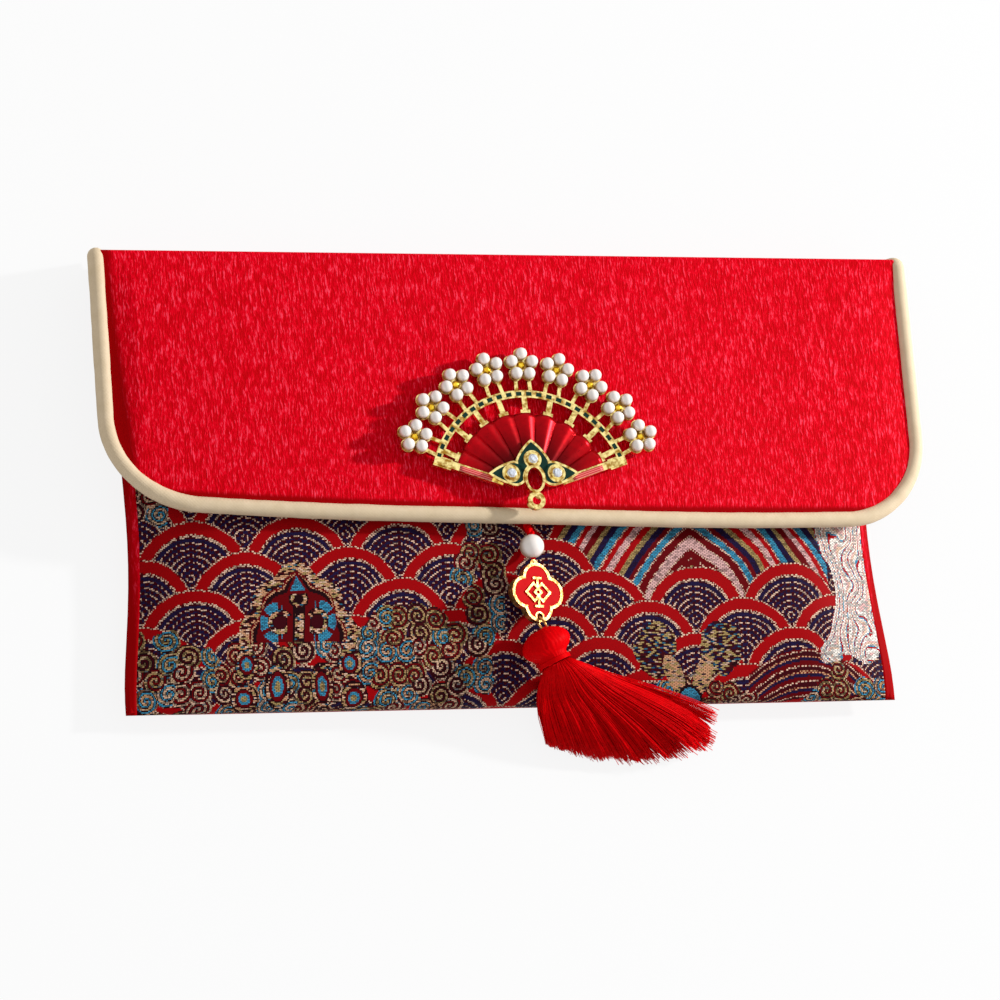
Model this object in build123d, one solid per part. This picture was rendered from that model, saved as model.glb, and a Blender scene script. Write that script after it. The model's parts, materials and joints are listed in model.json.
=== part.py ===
from build123d import *

import os
from math import atan2, cos, degrees, hypot, pi, radians, sin, sqrt, tan

# A padded cloth gift envelope with a folding flap, a fan brooch pinned to the flap
# and a pendant of pearl, charm and tassel hung from the flap's lower edge.
# Frame: millimetres, +Z up. The envelope lies on its back. X is its width, the mouth
# is at +Y, and the origin is the centre of the back face.

# Pouch
POUCH_WIDTH = 192.4
POUCH_HEIGHT = 106.0
SEAM_HEIGHT = 5.0
FRONT_CROWN = 9.2
BACK_PRESS = 1.2
BOTTOM_EDGE = 2.6
SIDE_DRAW_IN = 3.2
SHOULDER = 27.0
CLOTH = 0.7
INTERLINING = 0.6
LINING = 0.4
LAYER_GAP = 0.08

# Spine strip along the top fold
SPINE_THICKNESS = 2.2
SPINE_TAPER = 4.6
FOLD_GAP = 0.35

# Flap
FLAP_WIDTH = 206.4
FLAP_DROP = 67.0
FLAP_SKEW = 5.8
FLAP_ASIDE = 2.6
FLAP_CORNER = 20.0
FLAP_BOW = 2.5
FLAP_SIDE_FALL = 3.5
FLAP_CLEARANCE = 2.4
WADDING = 1.0
PIPING = 3.8
PIPING_CLOTH = 0.45
PIPING_SEAM_GAP = 0.2

# Press stud that holds the flap down
STUD_ABOVE_LIP = 12.0
STUD_DIAMETER = 9.0
STUD_PLATE = 0.5
STUD_SOCKET = 0.7
STUD_NUB_DIAMETER = 3.4
STUD_NUB = 0.8
STUD_PLAY = 0.15

# Fan brooch, measured from the fan's pivot
FAN_PIVOT_ABOVE_LIP = 6.7
FAN_ASIDE = -0.9
FAN_STANDOFF = 2.0
FAN_PLATE = 1.2
FLOWER_RING = 31.2
PEARL_RING = 2.7
PEARL = 2.9
PEARL_SINK = 0.5
PEARL_SEAT_PLAY = 0.03
FLOWER_RIM = 0.2
FLOWER_BUTTON = 2.0
BAND_OUTER = 25.1
BAND_INNER = 23.3
RAIL_CELL_LENGTH = 1.4
RAIL_CELL_WIDTH = 1.0
STRUT = 0.9
RIB = 1.3
RIB_FOOT = 2.4
RIB_FOOT_DEPTH = 0.8
LEAF_OUTER = 19.4
LEAF_INNER = 5.6
LEAF_THICKNESS = 0.6
LEAF_PLEAT = 1.1
LEAF_GAP = 0.05
GUARD = 1.8
GUARD_BLOCK = 2.6
PETAL_PLATE = 1.3
PETAL_TIP = 12.5
PETAL_WIDTH = 8.4
SIDE_PETAL_REACH = 11.3
SIDE_PETAL_HEIGHT = 5.8
ENAMEL_DEPTH = 0.4
STONE = 2.3
STONE_HEIGHT = 1.1
BEZEL = 0.35
BEZEL_HEIGHT = 0.5
OVAL_WIDTH = 5.0
OVAL_HEIGHT = 6.75
OVAL_WIRE = 0.62
OVAL_DEPTH = 1.7
OVAL_ABOVE_PIVOT = 2.65
RING_OUTER = 4.3
RING_HOLE = 2.1
RING_NECK = 1.2

# Brooch pin
PIN_SPAN = 21.0
PIN_BAR_WIDTH = 4.0
PIN_BAR = 0.8
PIN_WIRE = 0.9
PIN_LUG = 1.6
PIN_PLAY = 0.06
PIN_ABOVE_PIVOT = 12.3

# Pendant
PENDANT_ASIDE = -1.0
CORD = 1.9
CORD_FLAT = 0.8
CORD_TAIL = 5.0
CORD_BEND_GAP = 0.5
CORD_CORE = 1.5
BEAD = 5.8
BEAD_BORE = 1.7
BEAD_BELOW_LIP = 5.35
PENDANT_REST = 0.35
CHARM_SPAN = 14.2
CHARM_THICKNESS = 1.9
CHARM_LOBE = 3.85
CHARM_RIM = 0.7
CHARM_POCKET = 0.5
CHARM_ENAMEL = 0.38
CHARM_MOTIF_HEIGHT = 0.3
CHARM_MOTIF_LINE = 0.55
CHARM_TILT = 15.0
CHARM_EYE = 1.9
CHARM_EYE_WIRE = 0.54
CHARM_GAP = 0.3
CHARM_HOLE = 1.7
CHARM_HOLE_EDGE = 1.3

# Tassel
TASSEL_TURN = 30.0
TASSEL_RING = 3.6
TASSEL_LOOP = 2.2
TASSEL_WIRE = 0.6
TASSEL_LINK_PLAY = 0.05
TASSEL_HEAD = 9.6
TASSEL_HEAD_LENGTH = 7.4
TASSEL_HEAD_GAP = 1.3
TASSEL_NECK = 7.4
TASSEL_BINDING = 0.4
TASSEL_BINDING_LENGTH = 1.4
TASSEL_LOCK = 9.0
TASSEL_LOCK_FLAT = 4.6
TASSEL_REACH = 43.0
TASSEL_HEM_REST = 0.5

# Shapes that go with the sizes above
station_shares = (0.0, 0.07, 0.2, 0.5, 0.75, 1.0)
draw_in_shares = (0.0, 0.08, 0.55, 0.9, 0.65, 0.3)
crown_shares = (None, 0.6, 0.86, 1.0, 0.9, 0.62)
back_shares = (None, 0.78, 0.97, 1.0, 1.0, 1.0)
front_bow_share = 0.12
back_bow_share = 0.02
lip_flat_share = 0.5
pleat_angles = (-64.5, -48.5, -32.5, -16.2, 0.0, 16.2, 32.5, 48.5, 64.5)
ridge_half_angle = 2.4
guard_angle = 71.5
band_half_angle = 71.5
rail_cell_count = 24
lock_turns = (-27.0, -18.0, -9.0, 1.0, 11.0, 21.0, 30.0, 37.0)
lock_length_shares = (0.42, 0.5, 0.56, 0.61, 0.67, 0.76, 0.87, 1.0)

# Places worked out from the sizes
half_height = POUCH_HEIGHT / 2
flap_thickness = CLOTH + WADDING + LINING + LAYER_GAP * 2
spine_y = half_height + FOLD_GAP + SPINE_THICKNESS / 2
back_fold_z = SPINE_THICKNESS / 2
fold_z = SEAM_HEIGHT + FRONT_CROWN * crown_shares[-1] + FLAP_CLEARANCE + flap_thickness / 2
lip_z = SEAM_HEIGHT + FRONT_CROWN + FLAP_CLEARANCE + flap_thickness / 2
flap_top_y = spine_y - SPINE_THICKNESS / 2 - FOLD_GAP
flap_bottom_y = spine_y + SPINE_THICKNESS / 2 - FLAP_DROP
piping_radius = PIPING / 2
piping_x = FLAP_WIDTH / 2 - piping_radius
piping_top_y = spine_y - piping_radius - FOLD_GAP
lip_y = flap_bottom_y + piping_radius
flap_slope = (lip_z - fold_z) / (flap_top_y - flap_bottom_y)
front_top_z = SEAM_HEIGHT + FRONT_CROWN
flap_shift = Pos(FLAP_ASIDE, 0, 0)
pendant_x = FLAP_ASIDE + PENDANT_ASIDE
pendant_shift = Pos(pendant_x, 0, 0)
stud_y = flap_bottom_y + STUD_ABOVE_LIP


def drop_share(y):
    """Share of the way down the flap."""
    return (flap_top_y - y) / (flap_top_y - flap_bottom_y)


def flap_middle(x, y):
    """Height of the flap's middle surface, x counted from the flap's own centre."""
    fall = FLAP_SIDE_FALL * drop_share(y) * (x / (FLAP_WIDTH / 2)) ** 2
    return fold_z + (lip_z - fold_z) * drop_share(y) - fall


def save(shape, node, colour):
    """Name a piece, check it and write it to its own file."""
    shape.label = node
    shape.color = Color(*colour)
    solids = shape.solids()
    good = all(one.is_valid and one.volume > 0 for one in solids)
    print(f"{node}: {len(solids)} solid, {shape.volume:.2f} mm3, valid {good}")
    export_step(shape, f"parts/{node}.step")


def together(*pieces):
    """One compound that holds several solids."""
    solids = [one for piece in pieces for one in piece.solids()]
    return Compound(children=solids)


def rod(start, end, radius):
    """Round rod between two points."""
    axis = Vector(*end) - Vector(*start)
    return Plane(Vector(*start), z_dir=axis) * extrude(Circle(radius), axis.length)


# Pouch: each layer is a crowned shell, and the front and back meet in the seam plane.
def crowned_profile(half_width, rise, bow_share):
    """Flat along the seam, round at the shoulders, slightly bowed in the middle."""
    shoulder = half_width - SHOULDER
    side = rise - rise * bow_share
    middle = ThreePointArc((-shoulder, side), (0, rise), (shoulder, side))
    right = TangentArc((shoulder, side), (half_width, 0), tangent=middle % 1)
    left = TangentArc((-shoulder, side), (-half_width, 0), tangent=(middle % 0) * -1)
    seam = Line((-half_width, 0), (half_width, 0))
    return make_face([middle, right, seam, left])


def crowned_form(inset, rises, bow_share, downward):
    """Filled half of the pouch, drawn in by an inset."""
    facing = (0, 1, 0) if downward else (0, -1, 0)
    sections = []
    for index, share in enumerate(station_shares):
        y = POUCH_HEIGHT * share - half_height
        if index == 0:
            y += inset
        half_width = POUCH_WIDTH / 2 - SIDE_DRAW_IN * draw_in_shares[index] - inset
        plane = Plane((0, y, SEAM_HEIGHT), x_dir=(1, 0, 0), z_dir=facing)
        sections.append(plane * crowned_profile(half_width, rises[index] - inset, bow_share))
    return loft(sections)


def front_form(inset):
    rises = [BOTTOM_EDGE] + [FRONT_CROWN * share for share in crown_shares[1:]]
    return crowned_form(inset, rises, front_bow_share, False)


def back_form(inset):
    depth = SEAM_HEIGHT + BACK_PRESS
    depths = [BOTTOM_EDGE] + [depth * share for share in back_shares[1:]]
    bulge = crowned_form(inset, depths, back_bow_share, True)
    above = extrude(Rectangle(POUCH_WIDTH * 2, POUCH_HEIGHT * 2), SEAM_HEIGHT * 2)
    return bulge & (Pos(0, 0, inset) * above)


def shells(form):
    """Outer cloth, interlining and lining of one side."""
    pieces = []
    outer_inset = 0.0
    for thickness in (CLOTH, INTERLINING, LINING):
        pieces.append(form(outer_inset) - form(outer_inset + thickness))
        outer_inset += thickness + LAYER_GAP
    return pieces


def front_height(front, x, y):
    """Height of the front cloth's outer face."""
    hits = front.find_intersection_points(Axis((x, y, 0), (0, 0, 1)))
    return max((hit[0].Z for hit in hits), default=SEAM_HEIGHT + BOTTOM_EDGE)


# Spine: a strip with a round edge on each fold line, a little shorter at its foot than at the flap.
def spine_parts():
    radius = SPINE_THICKNESS / 2
    lean = atan2(SPINE_TAPER, fold_z - piping_radius)
    half_length = piping_x - (piping_radius + PIPING_SEAM_GAP) / cos(lean)
    rise = fold_z - back_fold_z
    slot = Rectangle(SPINE_THICKNESS, rise) + Pos(0, rise / 2) * Circle(radius)
    slot += Pos(0, -rise / 2) * Circle(radius)
    plane = Plane((0, spine_y, back_fold_z + rise / 2), x_dir=(0, 1, 0), z_dir=(1, 0, 0))
    strip = plane * extrude(slot, FLAP_WIDTH, both=True)
    top = fold_z + SPINE_THICKNESS
    foot = -SPINE_THICKNESS
    top_half = half_length + SPINE_THICKNESS * tan(lean)
    foot_half = half_length - (fold_z - foot) * tan(lean)
    corners = [(-top_half, top), (top_half, top), (foot_half, foot), (-foot_half, foot)]
    upright = Plane((0, spine_y, 0), x_dir=(1, 0, 0), z_dir=(0, -1, 0))
    strip &= upright * extrude(make_face(Polyline(*corners, close=True)), SPINE_THICKNESS, both=True)
    half_box = extrude(Rectangle(FLAP_WIDTH * 2, FLAP_WIDTH), FLAP_WIDTH, both=True)
    outside = Pos(0, spine_y + FLAP_WIDTH / 2, 0) * half_box
    ends = []
    for side in (-1, 1):
        low = (side * (piping_x - SPINE_TAPER), half_height + FOLD_GAP + piping_radius, piping_radius)
        high = (side * piping_x, spine_y, fold_z)
        bar = rod(low, high, piping_radius)
        bar += Pos(*low) * Sphere(piping_radius) + Pos(*high) * Sphere(piping_radius)
        ends.append(flap_shift * bar)
    return flap_shift * (strip & outside), flap_shift * (strip - outside), together(*ends)


# Flap: slices of one gently curved sheet, cut to the outline inside the piping.
def flap_slice(low, high):
    half = FLAP_WIDTH / 2

    def face_at(y, z, fall):
        corners = [(-half, -fall + low), (half, -fall + low), (half, -fall + high), (-half, -fall + high)]
        if fall:
            under = ThreePointArc(corners[0], (0, low), corners[1])
            over = ThreePointArc(corners[2], (0, high), corners[3])
        else:
            under = Line(corners[0], corners[1])
            over = Line(corners[2], corners[3])
        sides = [Line(corners[1], corners[2]), Line(corners[3], corners[0])]
        plane = Plane((0, y, z), x_dir=(1, 0, 0), z_dir=(0, -1, 0))
        return plane * make_face([under, sides[0], over, sides[1]])

    deep_y = flap_bottom_y - FLAP_SKEW
    deep = face_at(deep_y, flap_middle(0, deep_y), FLAP_SIDE_FALL * drop_share(deep_y))
    sheet = loft([face_at(flap_top_y, fold_z, 0), deep], ruled=True)
    return flap_shift * (sheet & extrude(flap_outline(), lip_z * 2))


def edge_points(top_y):
    """Plan points of the flap's piped edge, from one end of the fold to the other."""
    near = lip_flat_share * piping_x
    points = [(piping_x, top_y)]
    for x, bow in ((piping_x, FLAP_BOW), (near, 0), (-near, 0), (-piping_x, FLAP_BOW)):
        points.append((x, lip_y + bow - FLAP_SKEW / 2 * x / piping_x))
    return points + [(-piping_x, top_y)]


def edge_radii():
    """Corner radius, and a wide bend where the lower edge bows."""
    run = piping_x * (1 - lip_flat_share)
    wide = run * lip_flat_share / tan(atan2(FLAP_BOW, run))
    return [FLAP_CORNER, wide, wide, FLAP_CORNER]


def flap_outline():
    inset = piping_radius + PIPING_SEAM_GAP
    points = edge_points(flap_top_y + inset)
    edge = FilletPolyline(*points, radius=edge_radii())
    top = Line(points[-1], points[0])
    return offset(make_face([edge, top]), amount=-inset)


def piping_parts():
    points = []
    for x, y in edge_points(piping_top_y):
        bent_x = x if abs(x) == piping_x else 0
        points.append((x, y, flap_middle(bent_x, y)))
    path = FilletPolyline(*points, radius=edge_radii())
    start = Plane(path @ 0, z_dir=path % 0)
    core_radius = piping_radius - PIPING_CLOTH
    cover = sweep(start * (Circle(piping_radius) - Circle(core_radius)), path)
    core = sweep(start * Circle(core_radius - LAYER_GAP), path)
    return flap_shift * cover, flap_shift * core


# Press stud: socket on the pouch, and a plate with a nub under the flap.
def stud_parts(front):
    under = flap_middle(0, stud_y) - flap_thickness / 2 - LAYER_GAP
    plane = Plane((FLAP_ASIDE, stud_y, under), x_dir=(1, 0, 0), z_dir=(0, flap_slope, 1))
    plate = extrude(Circle(STUD_DIAMETER / 2), -STUD_PLATE)
    nub_length = STUD_PLATE + STUD_NUB
    nub = plate + extrude(Circle(STUD_NUB_DIAMETER / 2), -nub_length)
    mouth = STUD_NUB_DIAMETER / 2 + STUD_PLAY
    ring = Circle(STUD_DIAMETER / 2) - Circle(mouth)
    seat_z = front_height(front, FLAP_ASIDE, stud_y) + LAYER_GAP
    socket = Pos(FLAP_ASIDE, stud_y, seat_z) * extrude(ring, STUD_SOCKET)
    return socket, plane * nub


# Fan brooch, drawn flat around the fan's pivot and then laid on the flap.
pivot_y = flap_bottom_y + FAN_PIVOT_ABOVE_LIP
brooch_plane = Plane(
    (FLAP_ASIDE + FAN_ASIDE, pivot_y, flap_middle(0, pivot_y) + flap_thickness / 2),
    x_dir=(1, 0, 0),
    z_dir=(0, flap_slope, 1),
)
plate_top = FAN_STANDOFF + FAN_PLATE
petal_base = plate_top + LEAF_GAP * 4
petal_top = petal_base + PETAL_PLATE
pearl_radius = PEARL / 2
pearl_z = plate_top + pearl_radius - PEARL_SINK


def polar(radius, angle):
    """Point at an angle from straight up, to the right."""
    return (radius * sin(radians(angle)), radius * cos(radians(angle)))


def pearl_places(angle):
    """Centres of one flower's five pearls, one pointing outward."""
    cx, cy = polar(FLOWER_RING, angle)
    places = []
    for step in range(5):
        dx, dy = polar(PEARL_RING, angle + 360 / 5 * step)
        places.append((cx + dx, cy + dy))
    return places


def bar_2d(start, end, width):
    """Flat bar between two plan points."""
    length = hypot(end[0] - start[0], end[1] - start[1])
    turn = degrees(atan2(end[1] - start[1], end[0] - start[0]))
    middle = ((start[0] + end[0]) / 2, (start[1] + end[1]) / 2)
    return Pos(*middle) * Rot(0, 0, turn) * Rectangle(length, width)


def sector(inner, outer, half_angle):
    """Ring sector that is symmetric about straight up."""
    left_outer = polar(outer, -half_angle)
    right_outer = polar(outer, half_angle)
    left_inner = polar(inner, -half_angle)
    right_inner = polar(inner, half_angle)
    outer_arc = ThreePointArc(left_outer, (0, outer), right_outer)
    inner_arc = ThreePointArc(right_inner, (0, inner), left_inner)
    return make_face([outer_arc, Line(right_outer, right_inner), inner_arc, Line(left_inner, left_outer)])


def pointed_petal(base, tip, width, belly_share):
    """Petal outline from a round base to a pointed tip."""
    bx, by = base
    tx, ty = tip
    length = hypot(tx - bx, ty - by)
    ux, uy = (tx - bx) / length, (ty - by) / length
    belly = length * belly_share
    right = (bx + ux * belly + uy * width / 2, by + uy * belly - ux * width / 2)
    left = (bx + ux * belly - uy * width / 2, by + uy * belly + ux * width / 2)
    round_base = ThreePointArc(right, base, left)
    swell_share = 0.06
    bend_share = 0.5
    side_right = (
        right[0] + (tx - right[0]) * bend_share + uy * width * swell_share,
        right[1] + (ty - right[1]) * bend_share - ux * width * swell_share,
    )
    side_left = (
        left[0] + (tx - left[0]) * bend_share - uy * width * swell_share,
        left[1] + (ty - left[1]) * bend_share + ux * width * swell_share,
    )
    return make_face([round_base, ThreePointArc(left, side_left, tip), ThreePointArc(tip, side_right, right)])


def petal_outlines():
    """Middle petal and the two side petals."""
    middle = pointed_petal((0, PETAL_TIP - PETAL_WIDTH * 1.2), (0, PETAL_TIP), PETAL_WIDTH, 0.5)
    side_tip = (SIDE_PETAL_REACH, OVAL_ABOVE_PIVOT + SIDE_PETAL_HEIGHT / 4)
    side_base = (OVAL_WIDTH / 3, OVAL_ABOVE_PIVOT + SIDE_PETAL_HEIGHT / 4)
    right = pointed_petal(side_base, side_tip, SIDE_PETAL_HEIGHT, 0.42)
    return middle, right, mirror(right, about=Plane.YZ)


def stone_places():
    """Three small stones between and on the petals."""
    side_x = SIDE_PETAL_REACH / 2
    side_y = OVAL_ABOVE_PIVOT + SIDE_PETAL_HEIGHT / 4
    return [(0, OVAL_ABOVE_PIVOT + OVAL_HEIGHT / 2 + STONE * 2 / 3), (side_x, side_y), (-side_x, side_y)]


def enamel_outlines():
    """Crescents of enamel just inside each petal's edge."""
    rim = BEZEL * 1.6
    crescents = []
    for petal, (sx, sy) in zip(petal_outlines(), stone_places()):
        inner = offset(petal, amount=-rim)
        keep_clear = Pos(sx, sy) * Circle(STONE / 2 + BEZEL * 3)
        keep_clear += Pos(0, OVAL_ABOVE_PIVOT) * Ellipse(OVAL_WIDTH / 2 + BEZEL, OVAL_HEIGHT / 2 + BEZEL)
        left_over = inner - keep_clear
        crescents += [face for face in left_over.faces() if face.area > STONE]
    return crescents


def rail_cell_outlines():
    """Small cells of enamel in a row along the rail."""
    cells = []
    for step in range(rail_cell_count):
        angle = band_half_angle * (2 * (step + 0.5) / rail_cell_count - 1)
        middle = polar((BAND_OUTER + BAND_INNER) / 2, angle)
        cells.append(Pos(*middle) * Rot(0, 0, -angle) * Rectangle(RAIL_CELL_LENGTH, RAIL_CELL_WIDTH))
    return cells


def fan_frame_part(enamel):
    flat = sector(BAND_INNER, BAND_OUTER, band_half_angle)
    for angle in pleat_angles:
        foot = RIB_FOOT_DEPTH / 2 + LEAF_OUTER + LEAF_GAP
        flat += bar_2d(polar(foot, angle), polar(BAND_INNER + STRUT / 2, angle), RIB)
        across = Pos(*polar(foot, angle)) * Rot(0, 0, -angle) * Rectangle(RIB_FOOT, RIB_FOOT_DEPTH)
        flat += across
        places = pearl_places(angle)
        flat += Pos(*polar(FLOWER_RING, angle)) * Circle(PEARL_RING - pearl_radius / 2)
        for place in places:
            flat += Pos(*place) * Circle(pearl_radius + FLOWER_RIM)
        for place, lean in ((places[2], 1), (places[3], -1)):
            lean_angle = degrees(atan2(STRUT * 2, BAND_OUTER)) * lean
            flat += bar_2d(place, polar(BAND_OUTER - STRUT / 2, angle + lean_angle), STRUT)
    frame = extrude(flat, FAN_PLATE)
    for side in (-1, 1):
        start = polar(SIDE_PETAL_REACH - GUARD * 2, guard_angle * side)
        end = polar(BAND_OUTER, guard_angle * side)
        block = polar(LEAF_OUTER + GUARD_BLOCK / 2, guard_angle * side)
        frame += extrude(bar_2d(start, end, GUARD), petal_base - FAN_STANDOFF + LEAF_GAP * 2)
        frame += extrude(bar_2d(block, end, GUARD_BLOCK), FAN_PLATE)
    frame = Pos(0, 0, FAN_STANDOFF) * frame

    hole = Pos(0, OVAL_ABOVE_PIVOT) * Ellipse(OVAL_WIDTH / 2 - OVAL_WIRE, OVAL_HEIGHT / 2 - OVAL_WIRE)
    oval = Pos(0, OVAL_ABOVE_PIVOT) * Ellipse(OVAL_WIDTH / 2, OVAL_HEIGHT / 2) - hole
    petals = petal_outlines()
    flowers = extrude((petals[0] + petals[1] + petals[2]) - hole, PETAL_PLATE)
    ring_y = OVAL_ABOVE_PIVOT - OVAL_HEIGHT / 2 - RING_OUTER / 2 + OVAL_WIRE / 2
    neck_top = OVAL_ABOVE_PIVOT - OVAL_HEIGHT / 2 + OVAL_WIRE / 2
    ring = Pos(0, ring_y) * (Circle(RING_OUTER / 2) - Circle(RING_HOLE / 2))
    ring += bar_2d((0, neck_top), (0, ring_y + RING_HOLE / 2 + OVAL_WIRE / 2), RING_NECK)
    base = flowers + extrude(oval, OVAL_DEPTH) + extrude(ring, PETAL_PLATE)
    for place in stone_places():
        bezel = Circle(STONE / 2 + BEZEL) - Circle(STONE / 2)
        base += Pos(*place, PETAL_PLATE) * extrude(bezel, BEZEL_HEIGHT)
        base += Pos(*place, 0) * extrude(Circle(STONE / 2 + BEZEL), PETAL_PLATE)
    frame += Pos(0, 0, petal_base) * base
    frame -= enamel
    seats = [
        Pos(*place, pearl_z) * Sphere(pearl_radius + PEARL_SEAT_PLAY)
        for angle in pleat_angles
        for place in pearl_places(angle)
    ]
    return frame - seats


def enamel_part():
    petal_floor = Pos(0, 0, petal_top - ENAMEL_DEPTH)
    rail_floor = Pos(0, 0, plate_top - ENAMEL_DEPTH)
    inlays = [petal_floor * extrude(outline, ENAMEL_DEPTH) for outline in enamel_outlines()]
    inlays += [rail_floor * extrude(outline, ENAMEL_DEPTH) for outline in rail_cell_outlines()]
    return together(*inlays)


def stone_part():
    """Round cut stones, each a girdle with a sloping crown."""
    stones = []
    for place in stone_places():
        girdle = extrude(Circle(STONE / 2), STONE_HEIGHT / 2)
        crown = extrude(Pos(0, 0, STONE_HEIGHT / 2) * Circle(STONE / 2), STONE_HEIGHT / 2, taper=35)
        stones.append(Pos(*place, petal_top) * (girdle + crown))
    return together(*stones)


def leaf_part():
    """Pleated leaf: flat ridges at the ribs and straight valleys between them."""
    ridge_z = plate_top + LEAF_GAP
    valley_z = ridge_z - LEAF_PLEAT
    pivot_z = (ridge_z + valley_z) / 2
    angles = []
    for index, angle in enumerate(pleat_angles):
        angles += [(angle - ridge_half_angle, ridge_z), (angle + ridge_half_angle, ridge_z)]
        if index + 1 < len(pleat_angles):
            angles.append(((angle + pleat_angles[index + 1]) / 2, valley_z))
    angles = [(-guard_angle, valley_z)] + angles + [(guard_angle, valley_z)]
    reach = LEAF_OUTER / cos(radians(ridge_half_angle * 2))
    points = [(*polar(reach, angle), z) for angle, z in angles]
    pivot = (0, 0, pivot_z)
    drop = Vector(0, 0, -LEAF_THICKNESS)
    leaf = None
    for first, second in zip(points, points[1:]):
        facet = make_face(Polyline(pivot, first, second, close=True))
        wedge = extrude(facet, amount=LEAF_THICKNESS, dir=drop)
        leaf = wedge if leaf is None else leaf + wedge
    leaf &= extrude(Circle(LEAF_OUTER) - Circle(LEAF_INNER), plate_top * 2)
    for side in (-1, 1):
        end = polar(BAND_OUTER, guard_angle * side)
        keep_clear = bar_2d((0, 0), end, GUARD + LEAF_GAP * 2)
        leaf -= extrude(keep_clear, plate_top * 2)
    return leaf


def pin_parts():
    """Bar on the brooch's back, with a riveted stem bedded in the cloth."""
    half = PIN_SPAN / 2
    wire_z = -PIN_WIRE / 3
    bar_low = plate_top - LEAF_PLEAT - LEAF_THICKNESS - LEAF_GAP - PIN_BAR
    bar = Pos(0, 0, bar_low) * extrude(Rectangle(PIN_SPAN + PIN_LUG * 2, PIN_BAR_WIDTH), PIN_BAR)
    lug_drop = bar_low - wire_z + PIN_WIRE
    lug = extrude(Rectangle(PIN_LUG, PIN_BAR_WIDTH / 2), lug_drop)
    lugs = [Pos(side * half, 0, bar_low - lug_drop) * lug for side in (-1, 1)]
    bar = bar + lugs
    stem_hole = rod((-half - PIN_LUG, 0, wire_z), (half + PIN_LUG, 0, wire_z), PIN_WIRE / 2 + PIN_PLAY)
    bar -= stem_hole
    rivet_z = wire_z
    rivet_x = -half
    rivet_hole = rod((rivet_x, -PIN_BAR_WIDTH, rivet_z), (rivet_x, PIN_BAR_WIDTH, rivet_z), PIN_WIRE / 4 + PIN_PLAY)
    bar -= rivet_hole
    stem = rod((-half - PIN_LUG / 2, 0, wire_z), (half + PIN_LUG / 2, 0, wire_z), PIN_WIRE / 2)
    stem -= rivet_hole
    rivet_reach = PIN_BAR_WIDTH / 4
    rivet = rod((rivet_x, -rivet_reach, rivet_z), (rivet_x, rivet_reach, rivet_z), PIN_WIRE / 4)
    place = Pos(0, PIN_ABOVE_PIVOT, 0)
    room = rod((-half - PIN_LUG, 0, wire_z), (half + PIN_LUG, 0, wire_z), PIN_WIRE / 2 + PIN_PLAY)
    for side in (-1, 1):
        well = Rectangle(PIN_LUG + PIN_PLAY * 2, PIN_BAR_WIDTH / 2 + PIN_PLAY * 2)
        room += Pos(side * half, 0, bar_low - lug_drop - PIN_PLAY) * extrude(well, lug_drop)
    return [brooch_plane * (place * one) for one in (bar, stem, rivet, room)]


# Pendant: cord, pearl, charm and tassel in a line down the pouch.
bead_radius = BEAD / 2
bend_y = flap_bottom_y
bead_y = flap_bottom_y - BEAD_BELOW_LIP
pendant_z = front_top_z + PENDANT_REST + bead_radius
cord_z = lip_z - piping_radius - CORD_FLAT / 2 - LAYER_GAP * 2
charm_eye_y = bead_y - bead_radius - CHARM_GAP - CHARM_EYE / 2
charm_y = charm_eye_y - CHARM_SPAN / 2
hole_y = charm_y - CHARM_SPAN / 2 + CHARM_HOLE_EDGE


def tack_part():
    """Flat tail of the cord, sewn under the flap and running out below the piping."""
    outer_y = bend_y + CORD_BEND_GAP
    inner_y = outer_y + CORD_TAIL
    tail = Box(CORD, CORD_TAIL, CORD_FLAT)
    tail = Pos(0, (outer_y + inner_y) / 2, cord_z) * tail
    under = flap_middle(0, inner_y) - flap_thickness / 2 - LAYER_GAP * 2
    knot_height = under - cord_z + CORD_FLAT / 2
    knot = Box(CORD * 2, CORD, knot_height)
    return tail + Pos(0, inner_y, cord_z - CORD_FLAT / 2 + knot_height / 2) * knot


def cord_part():
    """Cord from the flap's edge through the pearl."""
    radius = CORD_CORE / 2
    mouth_share = 0.9
    start = (0, bend_y - CORD_BEND_GAP, cord_z)
    turn = (0, bead_y + bead_radius * mouth_share, pendant_z)
    end = (0, bead_y - bead_radius, pendant_z)
    path = FilletPolyline(start, turn, end, radius=radius * 1.4)
    return sweep(Plane(path @ 0, z_dir=path % 0) * Circle(radius), path)


def bead_part():
    bore = rod((0, -BEAD, 0), (0, BEAD, 0), BEAD_BORE / 2)
    return Pos(0, bead_y, pendant_z) * (Sphere(bead_radius) - bore)


def lobed_outline(inset):
    """Four round lobes on a round middle."""
    centre_out = CHARM_SPAN / 2 - CHARM_LOBE
    shape = Circle(CHARM_LOBE + centre_out / 4 - inset)
    for turn in range(4):
        place = polar(centre_out, 90 * turn)
        shape += Pos(*place) * Circle(CHARM_LOBE - inset)
    return shape


def motif_outline():
    """Two interlocked lozenges on a bar, a plain luck knot."""
    side = CHARM_SPAN / 4
    ring = Rectangle(side, side) - Rectangle(side - CHARM_MOTIF_LINE * 2, side - CHARM_MOTIF_LINE * 2)
    lozenge = Rot(0, 0, 45) * ring
    shift = side / 3
    knot = Pos(-shift, 0) * lozenge + Pos(shift, 0) * lozenge
    for level in (-1, 1):
        y = level * side * 0.95
        knot += bar_2d((-shift, y), (shift, y), CHARM_MOTIF_LINE)
        knot += bar_2d((0, y), (0, level * side / 4), CHARM_MOTIF_LINE)
    return knot


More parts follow.
